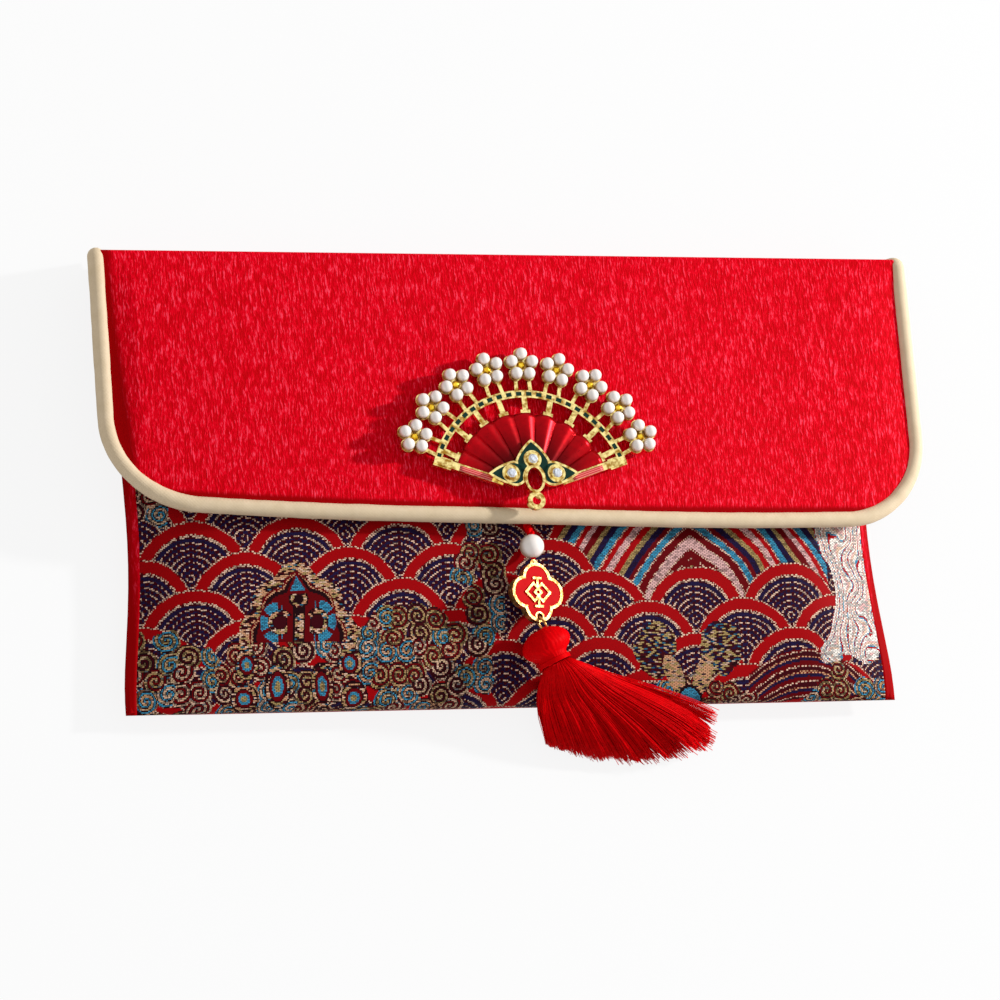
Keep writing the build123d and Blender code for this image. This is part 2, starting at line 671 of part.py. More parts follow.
def charm_parts():
    half = CHARM_THICKNESS / 2
    case = Pos(0, 0, -half) * extrude(lobed_outline(0), CHARM_THICKNESS)
    eye = Circle(CHARM_EYE / 2) - Circle(CHARM_EYE / 2 - CHARM_EYE_WIRE)
    case += Pos(0, CHARM_SPAN / 2, -CHARM_EYE_WIRE / 2) * extrude(eye, CHARM_EYE_WIRE)
    pocket_floor = half - CHARM_POCKET
    hole_at = (0, CHARM_HOLE_EDGE - CHARM_SPAN / 2)
    hole_rim = Pos(*hole_at) * Circle(CHARM_HOLE / 2 + CHARM_RIM / 2)
    field = lobed_outline(CHARM_RIM) - hole_rim
    case -= Pos(0, 0, pocket_floor) * extrude(field, CHARM_THICKNESS)
    case -= Pos(*hole_at, -CHARM_THICKNESS) * extrude(Circle(CHARM_HOLE / 2), CHARM_THICKNESS * 2)
    enamel = Pos(0, 0, pocket_floor) * extrude(field, CHARM_ENAMEL)
    motif = Pos(0, 0, pocket_floor + CHARM_ENAMEL) * extrude(motif_outline(), CHARM_MOTIF_HEIGHT)
    place = Pos(0, charm_y, pendant_z) * Rot(0, CHARM_TILT, 0)
    return place * case, place * enamel, place * motif


tassel_way = (sin(radians(TASSEL_TURN)), -cos(radians(TASSEL_TURN)))


def along(distance, height=0.0):
    """Point on the tassel's line, measured from the charm's lower hole."""
    return (tassel_way[0] * distance, hole_y + tassel_way[1] * distance, pendant_z + height)


link_reach = TASSEL_RING - TASSEL_WIRE - TASSEL_LINK_PLAY
head_start = link_reach + TASSEL_HEAD_GAP


def tassel_link_parts():
    """Ring through the charm, and the tassel's own loop linked through the ring."""
    across = (-tassel_way[1], tassel_way[0], 0)
    ring = Plane(along(TASSEL_RING / 2), z_dir=across) * Torus(TASSEL_RING / 2, TASSEL_WIRE / 2)
    loop = Pos(*along(link_reach + TASSEL_LOOP / 2)) * Torus(TASSEL_LOOP / 2, TASSEL_WIRE / 2)
    return ring, loop


def tassel_head_parts():
    """Round head of yarn, turned about the tassel's line, and the binding on its neck."""
    head = TASSEL_HEAD / 2
    neck = TASSEL_NECK / 2
    length = TASSEL_HEAD_LENGTH
    swell_share = 0.45
    crown = (head * 0.2, 0)
    belly = (head, length * swell_share)
    shoulder = (head * 0.72, length * swell_share * 0.38)
    waist = (neck, length)
    flank = (head * 0.92 + neck * 0.06, length * 0.8)
    profile = [
        Line((0, 0), crown),
        ThreePointArc(crown, shoulder, belly),
        ThreePointArc(belly, flank, waist),
        Line(waist, (0, length)),
        Line((0, length), (0, 0)),
    ]
    turned = revolve(Plane.XZ * make_face(profile), Axis.Z)
    place = Plane(along(head_start), z_dir=(*tassel_way, 0))
    band = Circle(neck + TASSEL_BINDING) - Circle(neck + LAYER_GAP)
    core = extrude(Circle(neck), TASSEL_BINDING_LENGTH)
    binding = extrude(band, TASSEL_BINDING_LENGTH)
    after = Pos(0, 0, length)
    return place * (turned + after * core), place * (after * binding)


neck_end = head_start + TASSEL_HEAD_LENGTH + TASSEL_BINDING_LENGTH


def lay_height(front, x, y, half_flat):
    """Height at which a lock of yarn lies: on the pouch, then down past its edge."""
    over = max(y, -half_height + LAYER_GAP)
    rest = front_height(front, x + pendant_x, over) + PENDANT_REST + half_flat
    past = max(0.0, -half_height - y - half_flat)
    return max(half_flat + TASSEL_HEM_REST, rest - past)


def tassel_skirt_part(front):
    """Locks of yarn that spread from the neck and hang over the pouch's lower edge."""
    start = Vector(*along(neck_end))
    neck_plane = Plane(start, z_dir=(*tassel_way, 0))
    skirt = neck_plane * extrude(Circle(TASSEL_NECK / 2), TASSEL_BINDING_LENGTH)
    width_shares = (0.5, 0.7, 0.9, 1.0, 0.7)
    flat_shares = (1.3, 1.15, 1.0, 0.8, 0.4)
    for turn, length_share in zip(lock_turns, lock_length_shares):
        heading = radians(TASSEL_TURN + turn)
        way = Vector(sin(heading), -cos(heading), 0)
        reach = TASSEL_REACH * length_share
        edge = min((half_height + start.Y) / cos(heading), reach * 0.6)
        steps = (0.0, edge * 0.5, edge, (edge + reach) / 2, reach)
        sections = []
        for step, wide, flat in zip(steps, width_shares, flat_shares):
            half_wide = TASSEL_LOCK / 2 * wide
            half_flat = TASSEL_LOCK_FLAT / 2 * flat
            spot = start + way * step
            across = Vector(cos(heading), sin(heading), 0)
            sides = [spot + across * half_wide * side * 0.5 for side in (-1, 0, 1)]
            height = max(lay_height(front, side.X, side.Y, half_flat) for side in sides)
            if step == 0:
                height = pendant_z
            plane = Plane((spot.X, spot.Y, height), x_dir=across, z_dir=way)
            sections.append(plane * Ellipse(half_wide, half_flat))
        skirt += loft(sections)
    beyond = extrude(Rectangle(FLAP_WIDTH, FLAP_WIDTH), FLAP_WIDTH)
    return skirt & (neck_plane * beyond)


RED = (0.70, 0.01, 0.02)
DARK_RED = (0.38, 0.02, 0.03)
CREAM = (0.80, 0.74, 0.62)
CHAMPAGNE = (0.78, 0.66, 0.42)
GOLD = (0.83, 0.60, 0.22)
STEEL = (0.62, 0.63, 0.65)
PEARL_WHITE = (0.93, 0.90, 0.84)
GREEN = (0.03, 0.20, 0.13)
CLEAR = (0.86, 0.90, 0.95)

os.makedirs("parts", exist_ok=True)

front_cloth, front_stiffener, front_inner = shells(front_form)
save(front_cloth, "front_panel", DARK_RED)
save(front_stiffener, "front_interlining", CREAM)
save(front_inner, "front_lining", RED)

back_cloth, back_stiffener, back_inner = shells(back_form)
save(back_cloth, "back_panel", RED)
save(back_stiffener, "back_interlining", CREAM)
save(back_inner, "back_lining", RED)

spine_cloth, spine_inner, spine_edging = spine_parts()
save(spine_cloth, "spine_cloth", RED)
save(spine_inner, "spine_lining", RED)
save(spine_edging, "spine_piping", CHAMPAGNE)

pin_bar, pin_stem, pin_rivet, pin_room = pin_parts()
flap_high = flap_thickness / 2
wadding_high = flap_high - CLOTH - LAYER_GAP
lining_high = LINING - flap_high
save(flap_slice(flap_high - CLOTH, flap_high) - pin_room, "flap_cloth", RED)
save(flap_slice(lining_high + LAYER_GAP, wadding_high) - pin_room, "flap_wadding", CREAM)
save(flap_slice(-flap_high, lining_high), "flap_lining", RED)
piping_cover, piping_core = piping_parts()
save(piping_cover, "flap_piping", CHAMPAGNE)
save(piping_core, "piping_cord", CREAM)

socket_half, stud_half = stud_parts(front_cloth)
save(socket_half, "snap_socket", STEEL)
save(stud_half, "snap_stud", STEEL)

fan_enamel = enamel_part()
save(brooch_plane * fan_frame_part(fan_enamel), "fan_frame", GOLD)
save(brooch_plane * fan_enamel, "petal_enamel", GREEN)
save(brooch_plane * leaf_part(), "fan_leaf", RED)
save(brooch_plane * stone_part(), "fan_stones", CLEAR)
buttons = []
for number, angle in enumerate(pleat_angles):
    beads = [Pos(*place, pearl_z) * Sphere(pearl_radius) for place in pearl_places(angle)]
    save(brooch_plane * together(*beads), f"flower_{number + 1}_pearls", PEARL_WHITE)
    button = Sphere(FLOWER_BUTTON / 2) & extrude(Rectangle(PEARL, PEARL), PEARL)
    buttons.append(Pos(*polar(FLOWER_RING, angle), plate_top) * button)
save(brooch_plane * together(*buttons), "flower_buttons", GOLD)
save(pin_bar, "pin_bar", GOLD)
save(pin_stem, "pin_stem", STEEL)
save(pin_rivet, "pin_rivet", STEEL)

save(pendant_shift * tack_part(), "cord_tack", RED)
save(pendant_shift * cord_part(), "pendant_cord", RED)
save(pendant_shift * bead_part(), "pearl_bead", PEARL_WHITE)
charm_case, charm_field, charm_knot = charm_parts()
save(pendant_shift * charm_case, "charm_case", GOLD)
save(pendant_shift * charm_field, "charm_enamel", RED)
save(pendant_shift * charm_knot, "charm_motif", GOLD)
tassel_ring, tassel_loop = tassel_link_parts()
save(pendant_shift * tassel_ring, "tassel_ring", GOLD)
save(pendant_shift * tassel_loop, "tassel_loop", RED)
tassel_head, tassel_band = tassel_head_parts()
save(pendant_shift * tassel_head, "tassel_head", RED)
save(pendant_shift * tassel_band, "tassel_binding", RED)
save(pendant_shift * tassel_skirt_part(front_cloth), "tassel_skirt", RED)
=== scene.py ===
# %% [markdown]
# # A padded gift envelope in cloth
# The envelope is a brocade pouch under a red crepe flap. Champagne piping runs round the flap, a gilt fan
# brooch is pinned to it, and a pearl, a charm and a tassel hang from its lower edge. The packed solids give
# every piece its size and place, so the first step is to load them.

import json
import math
import random

import bpy
import numpy as np
from mathutils import Matrix, Vector, noise
from mathutils.bvhtree import BVHTree


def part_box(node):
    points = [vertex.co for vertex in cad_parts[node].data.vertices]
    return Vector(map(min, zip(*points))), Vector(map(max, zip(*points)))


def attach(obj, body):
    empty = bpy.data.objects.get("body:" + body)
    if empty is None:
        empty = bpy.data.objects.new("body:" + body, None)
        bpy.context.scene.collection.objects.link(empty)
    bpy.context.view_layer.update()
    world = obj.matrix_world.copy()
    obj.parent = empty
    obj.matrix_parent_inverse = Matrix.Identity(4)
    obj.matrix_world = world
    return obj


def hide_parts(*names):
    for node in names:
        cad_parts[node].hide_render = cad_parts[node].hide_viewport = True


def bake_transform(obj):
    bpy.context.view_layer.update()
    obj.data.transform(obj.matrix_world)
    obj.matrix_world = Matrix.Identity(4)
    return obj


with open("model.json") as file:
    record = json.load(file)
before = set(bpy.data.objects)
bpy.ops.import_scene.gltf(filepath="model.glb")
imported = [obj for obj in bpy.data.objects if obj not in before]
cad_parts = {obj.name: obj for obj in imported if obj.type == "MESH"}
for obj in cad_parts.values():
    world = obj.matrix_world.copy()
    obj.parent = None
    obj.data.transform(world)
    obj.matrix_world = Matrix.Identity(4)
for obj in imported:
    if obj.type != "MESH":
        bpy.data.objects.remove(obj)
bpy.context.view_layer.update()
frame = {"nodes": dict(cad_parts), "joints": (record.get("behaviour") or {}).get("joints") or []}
MM = 0.001

# %% [markdown]
# The photograph was taken from the left and above with a long lens, and the envelope fills the picture from
# side to side. The camera could be aimed by hand, but then it drifts with each change. Here its place and
# its three axes are values, worked out once from points of the flap's edge, and they are used as they are.

# %% Camera
CAMERA_PLACE = Vector((-356.3, -245.0, 1023.2))
CAMERA_RIGHT = Vector((0.94692, -0.07976, 0.31141))
CAMERA_UP = Vector((0.00517, 0.97238, 0.23333))
CAMERA_BACK = Vector((-0.32142, -0.21934, 0.92119))
CAMERA_LENS = 166.9
CAMERA_SENSOR = 36.0
CAMERA_CLIP = 0.05

camera_data = bpy.data.cameras.new("photo_camera")
camera_data.sensor_width = CAMERA_SENSOR
camera_data.lens = CAMERA_LENS
camera_data.clip_start = CAMERA_CLIP
camera = bpy.data.objects.new("photo_camera", camera_data)
axes = Matrix((CAMERA_RIGHT, CAMERA_UP, CAMERA_BACK)).transposed().to_4x4()
camera.matrix_world = Matrix.Translation(CAMERA_PLACE * MM) @ axes
bpy.context.scene.collection.objects.link(camera)
bpy.context.scene.camera = camera
bpy.context.scene.view_settings.view_transform = "Standard"
print("camera lens:", camera_data.lens)

# %% [markdown]
# A finish is a small network of shader nodes. Adding nodes one by one hides the idea behind it, so a wire
# stands for one socket and takes part in Python sums: `1 - mask` adds a Math node and gives a new wire.
# Every other node comes from one method, which takes the node's type, its settings, and the values or wires
# of its sockets.

# %% Wires and finishes


def add_math(operation, reflected=False):
    """A method that adds one Math node."""

    def method(self, other=0.0):
        pair = (other, self) if reflected else (self, other)
        return self.finish.node("ShaderNodeMath", {"operation": operation}, dict(enumerate(pair)))

    return method


class Wire:
    """One shader socket that takes part in sums."""

    def __init__(self, finish, socket):
        self.finish = finish
        self.socket = socket

    __add__, __radd__ = add_math("ADD"), add_math("ADD", True)
    __sub__, __rsub__ = add_math("SUBTRACT"), add_math("SUBTRACT", True)
    __mul__, __rmul__ = add_math("MULTIPLY"), add_math("MULTIPLY", True)
    __truediv__, __rtruediv__ = add_math("DIVIDE"), add_math("DIVIDE", True)
    __pow__, __rpow__ = add_math("POWER"), add_math("POWER", True)
    __mod__, __rmod__ = add_math("FLOORED_MODULO"), add_math("FLOORED_MODULO", True)
    __gt__, __lt__ = add_math("GREATER_THAN"), add_math("LESS_THAN")
    __abs__, __floor__ = add_math("ABSOLUTE"), add_math("FLOOR")
    __ceil__ = add_math("CEIL")
    sine, angle_to = add_math("SINE"), add_math("ARCTAN2")
    least, most = add_math("MINIMUM"), add_math("MAXIMUM")


class Finish:
    """A material in the making, with its Principled shader."""

    def __init__(self, name):
        self.material = bpy.data.materials.new(name)
        self.material.use_nodes = True
        self.tree = self.material.node_tree
        self.shader = self.tree.nodes["Principled BSDF"]

    def node(self, kind, settings=None, sockets=None, output=0):
        """Add a node: its settings first, then the values or wires of its sockets."""
        node = self.tree.nodes.new(kind)
        for name, value in (settings or {}).items():
            if name == "stops":
                self.set_stops(node.color_ramp, value)
            else:
                setattr(node, name, value)
        self.connect(node, sockets or {})
        return Wire(self, node.outputs[output])

    def set_stops(self, ramp, stops):
        """Give a colour ramp its stops, from low to high."""
        ramp.elements.remove(ramp.elements[-1])
        ramp.elements[0].position, ramp.elements[0].color = stops[0]
        for place, shade in stops[1:]:
            ramp.elements.new(place).color = shade

    def connect(self, node, sockets):
        for name, value in sockets.items():
            if isinstance(value, Wire):
                self.tree.links.new(value.socket, node.inputs[name])
            else:
                node.inputs[name].default_value = value

    def feed(self, **sockets):
        """Set the shader's own sockets, written with underscores for spaces."""
        self.connect(self.shader, {name.replace("_", " "): value for name, value in sockets.items()})
        return self.material

    def place(self, kind="Object"):
        """Where a point lies, in millimetres, as three wires."""
        spot = self.node("ShaderNodeTexCoord", output=kind)
        parts = [self.node("ShaderNodeSeparateXYZ", None, {0: spot}, axis) for axis in range(3)]
        return [part / MM for part in parts]

    def point(self, x, y, z=0.0):
        return self.node("ShaderNodeCombineXYZ", None, {0: x, 1: y, 2: z})

    def noise(self, spot, scale=1.0, detail=2.0, roughness=0.5, distortion=0.0):
        sockets = {"Vector": spot, "Scale": scale, "Detail": detail, "Roughness": roughness}
        return self.node("ShaderNodeTexNoise", None, {**sockets, "Distortion": distortion})

    def mix(self, factor, low, high):
        """A colour between two."""
        return self.node("ShaderNodeMix", {"data_type": "RGBA"}, {0: factor, 6: low, 7: high}, 2)

    def ramp(self, value, stops, interpolation="LINEAR"):
        wire = self.node("ShaderNodeValToRGB", {"stops": stops}, {0: value})
        wire.socket.node.color_ramp.interpolation = interpolation
        return wire

    def smooth(self, value, low, high):
        """0 below low and 1 above high, with a soft step between."""
        settings = {"interpolation_type": "SMOOTHSTEP", "clamp": True}
        return self.node("ShaderNodeMapRange", settings, {"Value": value, 1: low, 2: high})

    def bump(self, height, depth_mm, strength=1.0):
        sockets = {"Strength": strength, "Distance": depth_mm * MM, "Height": height}
        return self.node("ShaderNodeBump", None, sockets)


def colour(red, green, blue):
    """A screen colour of 0 to 255 as the linear one that shaders take."""
    parts = [part / 255 for part in (red, green, blue)]
    linear = [part / 12.92 if part <= 0.04045 else ((part + 0.055) / 1.055) ** 2.4 for part in parts]
    return (*linear, 1.0)


print("wires take part in sums:", sorted(name for name in vars(Wire) if name.startswith("__r")))

# %% [markdown]
# The light in the photograph is one strong lamp, low on the right and a little towards the top edge: the
# brooch throws a crisp shadow to the left, and the crinkles of the crepe stand out. A small area lamp gives
# that shadow, and also the fall in brightness from right to left. The world fills the shadows. The floor is
# white to the camera, keeps part of the shadow that falls on it near the envelope, and fades to plain white
# farther out.

# %% Light and floor
LAMP_WAY = Vector((0.89, 0.2, 0.43))
LAMP_DISTANCE = 1.4
LAMP_SIZE = 0.1
LAMP_POWER = 22.0
FILL_LEVEL = 0.56
FLOOR_SIDE = 4.0
FLOOR_WHITE_SHARE = 0.87
FLOOR_FADE = (160.0, 420.0)
FLOOR_GREY = (0.8, 0.8, 0.8, 1)
PLAIN_WHITE = (1, 1, 1, 1)


def seen_directly(finish):
    """1 for camera rays and for rays that mirror or pass through to the background."""
    light_path = finish.node("ShaderNodeLightPath", output="Is Camera Ray")
    outputs = light_path.socket.node.outputs
    glossy, through = Wire(finish, outputs["Is Glossy Ray"]), Wire(finish, outputs["Is Transmission Ray"])
    return light_path.most(glossy).most(through)


lamp_data = bpy.data.lights.new("window_lamp", "AREA")
lamp_data.shape = "DISK"
lamp_data.size = LAMP_SIZE
lamp_data.energy = LAMP_POWER
lamp = bpy.data.objects.new("window_lamp", lamp_data)
lamp.location = LAMP_WAY.normalized() * LAMP_DISTANCE
lamp.rotation_mode = "QUATERNION"
lamp.rotation_quaternion = (-LAMP_WAY).to_track_quat("-Z", "Y")
bpy.context.scene.collection.objects.link(lamp)

floor_finish = Finish("floor_white")
floor_tree = floor_finish.tree
floor_diffuse = floor_finish.node("ShaderNodeBsdfDiffuse", None, {"Color": FLOOR_GREY})
floor_glow = floor_finish.node("ShaderNodeEmission", None, {"Color": PLAIN_WHITE, "Strength": 1.0})
floor_x, floor_y, floor_z = floor_finish.place()
far = floor_finish.smooth((floor_x**2 + floor_y**2) ** 0.5, *FLOOR_FADE)
white_share = seen_directly(floor_finish) * (FLOOR_WHITE_SHARE + far * (1 - FLOOR_WHITE_SHARE))
floor_look = floor_finish.node("ShaderNodeMixShader", None, {0: white_share, 1: floor_diffuse, 2: floor_glow})
floor_tree.links.new(floor_look.socket, floor_tree.nodes["Material Output"].inputs["Surface"])
half_floor = FLOOR_SIDE / 2
floor_mesh = bpy.data.meshes.new("floor")
floor_corners = [(x * half_floor, y * half_floor, 0) for x, y in ((-1, -1), (1, -1), (1, 1), (-1, 1))]
floor_mesh.from_pydata(floor_corners, [], [(0, 1, 2, 3)])
floor_mesh.materials.append(floor_finish.material)
floor = bpy.data.objects.new("floor", floor_mesh)
bpy.context.scene.collection.objects.link(floor)


class WorldFinish(Finish):
    """The same wires for the world's own tree."""

    def __init__(self, world):
        world.use_nodes = True
        self.tree = world.node_tree


world = bpy.data.worlds.new("studio")
bpy.context.scene.world = world
world_finish = WorldFinish(world)
direct = seen_directly(world_finish)
level = direct + (1 - direct) * FILL_LEVEL
world_finish.connect(world.node_tree.nodes["Background"], {"Color": PLAIN_WHITE, "Strength": level})
print("lamp at", [round(v, 3) for v in lamp.location])

# %% [markdown]
# Most of the envelope is cloth. A cloth piece is a grid of points, row by row, made into a mesh and given a
# thickness. The heights come from the solids: a ray sent down from above, or up from below, meets the solid
# where the cloth lies.

# %% Cloth helpers


def box_mm(node):
    """Lowest and highest corner of a solid in millimetres."""
    low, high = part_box(node)
    return low / MM, high / MM


def tree_of(node):
    """A solid's surface that rays can meet, in millimetres."""
    mesh = frame["nodes"][node].data
    return BVHTree.FromPolygons([v.co / MM for v in mesh.vertices], [p.vertices for p in mesh.polygons])


def meet(tree, start, way):
    """The point where a ray first meets a surface, or None."""
    return tree.ray_cast(Vector(start), Vector(way))[0]


def new_piece(name, points, faces, material, slot):
    """A smooth mesh piece from points in millimetres."""
    mesh = bpy.data.meshes.new(name)
    mesh.from_pydata([Vector(p) * MM for p in points], [], faces)
    mesh.polygons.foreach_set("use_smooth", [True] * len(mesh.polygons))
    mesh.materials.append(material)
    mesh.update()
    piece = bpy.data.objects.new(name, mesh)
    bpy.context.scene.collection.objects.link(piece)
    return piece


def grid_faces(rows, columns, closed=False):
    """Quads of a grid of rows and columns, joined round if it is closed."""
    across = columns if closed else columns - 1
    faces = []
    for row in range(rows - 1):
        for column in range(across):
            after = (column + 1) % columns
            start, end = row * columns, (row + 1) * columns
            faces.append((start + column, start + after, end + after, end + column))
    return faces


def grid_normals(grid):
    """Unit normals of a grid of points, from its row and column steps."""
    along_rows = np.gradient(grid, axis=1)
    along_columns = np.gradient(grid, axis=0)
    normals = np.cross(along_rows, along_columns)
    lengths = np.linalg.norm(normals, axis=2, keepdims=True)
    return normals / np.maximum(lengths, 1e-9)


def grid_lengths(grid):
    """Length of the middle row and of the middle column of a grid, in metres."""
    middle_row = np.linalg.norm(np.diff(grid[len(grid) // 2], axis=0), axis=1).sum()
    middle_column = np.linalg.norm(np.diff(grid[:, grid.shape[1] // 2], axis=0), axis=1).sum()
    return middle_row * MM, middle_column * MM


def cloth_piece(name, grid, thickness, material, slot, lay=None):
    """A cloth of that thickness, with the grid as its outer face.

    The lay, where it is given, holds each point's place on the flat cloth.
    """
    rows, columns = grid.shape[:2]
    piece = new_piece(name, grid.reshape(-1, 3), grid_faces(rows, columns), material, slot)
    if lay is not None:
        corners = [loop.vertex_index for loop in piece.data.loops]
        flat = lay.reshape(-1, 2)[corners] * MM
        piece.data.uv_layers.new(name="cloth_lay").data.foreach_set("uv", flat.ravel())
    solidify = piece.modifiers.new("thickness", "SOLIDIFY")
    solidify.thickness = thickness * MM
    solidify.offset = -1.0
    bpy.context.view_layer.update()
    evaluated = piece.evaluated_get(bpy.context.evaluated_depsgraph_get())
    piece.data = bpy.data.meshes.new_from_object(evaluated)
    piece.modifiers.clear()
    return piece


def inset(grid, depth):
    """The grid moved inwards along its normals."""
    return grid - grid_normals(grid) * depth


def ripple(x, y, size, seed):
    """Smooth unevenness from -1 to 1, about one swell in each length of that size."""
    return noise.noise(Vector((x / size, y / size, seed)))


print("cloth helpers ready")

# %% [markdown]
# The flap is a satin crepe: its yarns shrink unevenly, so the face is covered in small crinkles that run up
# and down the flap, about half a millimetre wide and a few long. A broad and a fine noise, both stretched,
# give them. They feed a bump for the relief, and the colour too, as painted light: the ridges are painted
# lighter, with a pink painted highlight on their tops, and the valleys stay deep red. Where the cloth is
# pulled smooth round an edge, the crinkles fade and the colour is painted in shade.

# %% Crepe finish
CRINKLES_ACROSS = 2.5
CRINKLES_ALONG = 0.4
CRINKLE_SHARE = 0.7
FINE_ACROSS, FINE_ALONG = 6.0, 1.3
WANDER = 0.3
PATCH_SCALE = 0.05
RIDGE_STEP, GLINT_STEP = (0.4, 0.57), (0.54, 0.68)
CREPE_RELIEF = 0.3
LINING_THREADS = 9.0
FIBRE_RELIEF = 0.2
# Painted shade for crepe that is pulled smooth round an edge sloping away from the light.
EDGE_SHADE_RED = colour(156, 0, 4)


def crepe_finish(name, valley, ridge, glint, smooth_shaded_edge_of=None):
    """Crinkled satin with painted ridge light and highlights; the mask is 1 at smooth edges in painted shade.
    """
    finish = Finish(name)
    x, y, z = finish.place()
    wander = finish.noise(finish.point(x * WANDER, y * WANDER, z * WANDER), 1.0, 1.0) - 0.5
    spot = finish.point((x + wander) * CRINKLES_ACROSS, y * CRINKLES_ALONG, z * CRINKLES_ALONG)
    crinkle = finish.noise(spot, 1.0, 2.0, 0.5, 0.3)
    fine = finish.noise(finish.point(x * FINE_ACROSS, y * FINE_ALONG, z * FINE_ALONG), 1.0, 1.0)
    height = crinkle * CRINKLE_SHARE + fine * (1 - CRINKLE_SHARE)
    patch = finish.noise(finish.point(x, y, z), PATCH_SCALE, 2.0)
    # Painted light: the ridges are painted lighter than the valleys.
    base = finish.mix(finish.smooth(height, *RIDGE_STEP), valley, ridge)
    base = finish.mix(patch * 0.3, base, valley)
    shine = finish.smooth(height, *GLINT_STEP)
    if smooth_shaded_edge_of:
        edge_smooth_and_shaded = smooth_shaded_edge_of(finish, x, y)
        # Painted shade along the smooth edge; the crinkles also fade there.
        base = finish.mix(edge_smooth_and_shaded, base, EDGE_SHADE_RED)
        shine = shine * (1 - edge_smooth_and_shaded)
        height = height * (1 - edge_smooth_and_shaded * 0.8)
    # Painted highlight, pink, on the tops of the ridges.
    base = finish.mix(shine * 0.8, base, glint)
    finish.feed(Base_Color=base, Roughness=0.58 - shine * 0.12, Normal=finish.bump(height, CREPE_RELIEF, 0.8))
    return finish.feed(Specular_IOR_Level=0.02)


def lining_finish():
    """Plain red lining with a fine weave."""
    finish = Finish("red_lining")
    x, y, z = finish.place()
    threads = (x * LINING_THREADS).sine() * ((y + z) * LINING_THREADS).sine()
    patch = finish.noise(finish.point(x, y, z), 0.08, 3.0)
    base = finish.mix(patch, colour(150, 0, 8), colour(190, 2, 16))
    finish.feed(Base_Color=base, Roughness=0.55 + patch * 0.15, Normal=finish.bump(threads, 0.05, 0.6))
    return finish.feed(Specular_IOR_Level=0.12)


def fibre_finish(name, dark, pale):
    """Matted fibres, for the stiffening, the padding and the cord inside the piping."""
    finish = Finish(name)
    x, y, z = finish.place()
    fibres = finish.noise(finish.point(x, y, z), 1.6, 4.0, 0.7, 1.5)
    base, relief = finish.mix(fibres, dark, pale), finish.bump(fibres, FIBRE_RELIEF)
    return finish.feed(Base_Color=base, Roughness=0.85, Normal=relief)


# Deep red for the valleys, lighter red for the painted light on the ridges, pink for the painted highlight.
CREPE_LIT_AND_SHADED_REDS = (colour(198, 0, 12), colour(240, 0, 32), colour(254, 76, 102))
crepe = crepe_finish("red_crepe", *CREPE_LIT_AND_SHADED_REDS)
lining = lining_finish()
stiffening = fibre_finish("interlining", colour(206, 198, 182), colour(236, 230, 218))
cotton = fibre_finish("cotton_cord", colour(212, 200, 178), colour(240, 232, 214))
print("finishes:", crepe.name, lining.name, stiffening.name, cotton.name)

# %% [markdown]
# The brocade is woven with bright threads that float over a red ground: overlapping wave scales, cloud
# scrolls and striped arches, all outlined in short pale stitches. It could be one picture, but a picture
# can't be scaled or changed. Here each figure is a distance worked out from the place on the cloth, and its
# stripes are steps of that distance. The stitches are a brick pattern that breaks up every bright line.

# %% Brocade figures
GROUND = colour(98, 0, 6)
BRIGHT_RED = colour(160, 0, 6)
MAROON = colour(58, 2, 12)
DARK = colour(28, 3, 8)
NAVY = colour(27, 20, 62)
CREAM = colour(232, 194, 168)
WHITE_THREAD = colour(250, 242, 232)
PEACH = colour(206, 152, 114)
GOLD_THREAD = colour(170, 144, 92)
TEAL = colour(58, 146, 182)
PINK = colour(226, 178, 174)
WEFT_ROW = 0.36
WARP_STEP = 0.26
FLOAT_LENGTH = 0.95


def distance(u, v, centre_u, centre_v):
    return ((u - centre_u) ** 2 + (v - centre_v) ** 2) ** 0.5


def band(value, low, high):
    """1 between two values, 0 outside."""
    return (value > low) * (value < high)


def on_loom(value, step):
    """A place moved to the middle of its thread: a loom changes colour only between threads."""
    return (math.floor(value / step) + 0.5) * step


def stitch_place(u, v, length, height):
    """Row of a stitch, and how far along its row it lies; each row starts half a stitch on from the last."""
    row = math.floor(v / height)
    return row, u / length + row % 2 * 0.5


def stitches(u, v, length, height, filled):
    """Short floats of thread in rows."""
    return stitch_place(u, v, length, height)[1] % 1.0 < filled


def stitch_luck(finish, u, v, length, height):
    """A chance value from 0 to 1 for each float."""
    row, along = stitch_place(u, v, length, height)
    spot = finish.point(math.floor(along), row)
    return finish.node("ShaderNodeTexWhiteNoise", {"noise_dimensions": "2D"}, {"Vector": spot})


print("threads on the loom: one row each", WEFT_ROW, "mm")

# %% [markdown]
# Nested bands of colour come up again and again: round a scale, round an arch, round a cloud curl. A colour
# ramp with hard steps holds such a set of bands, and its alpha tells which bands are sewn as dotted lines.
# Each band is written as the distance where it starts, its thread, and whether it is dotted.

# %% Bands and curls


def bands(finish, value, span, rows, dots):
    """Colours of nested bands; a dotted band shows the ground between its stitches."""
    stops = [(start / span, (*thread[:3], 0.0 if dotted else 1.0)) for start, thread, dotted in rows]
    ramp = finish.ramp(value / span, stops, "CONSTANT")
    solid = Wire(finish, ramp.socket.node.outputs["Alpha"])
    return finish.mix(solid.most(dots), GROUND, ramp)


def ellipse(u, v, middle_u, middle_v, half_u, half_v):
    """Below 1 inside an ellipse."""
    return (((u - middle_u) / half_u) ** 2 + ((v - middle_v) / half_v) ** 2) ** 0.5


def within(u, v, places):
    """1 where a point lies in any of some ellipses."""
    nearest = ellipse(u, v, *places[0])
    for place in places[1:]:
        nearest = nearest.least(ellipse(u, v, *place))
    return nearest < 1.0


print("bands and shapes ready")

# %% [markdown]
# Wave scales are the oldest brocade ground: rows of discs, each row half a disc on from the last and in
# front of it. One disc could be drawn and copied, but a shader has no copies. Instead the place is folded
# back into one disc by a modulo, and the row that lies in front wins. The rim is a red band between dotted
# lines; the inside holds arcs of navy and pale dashes.

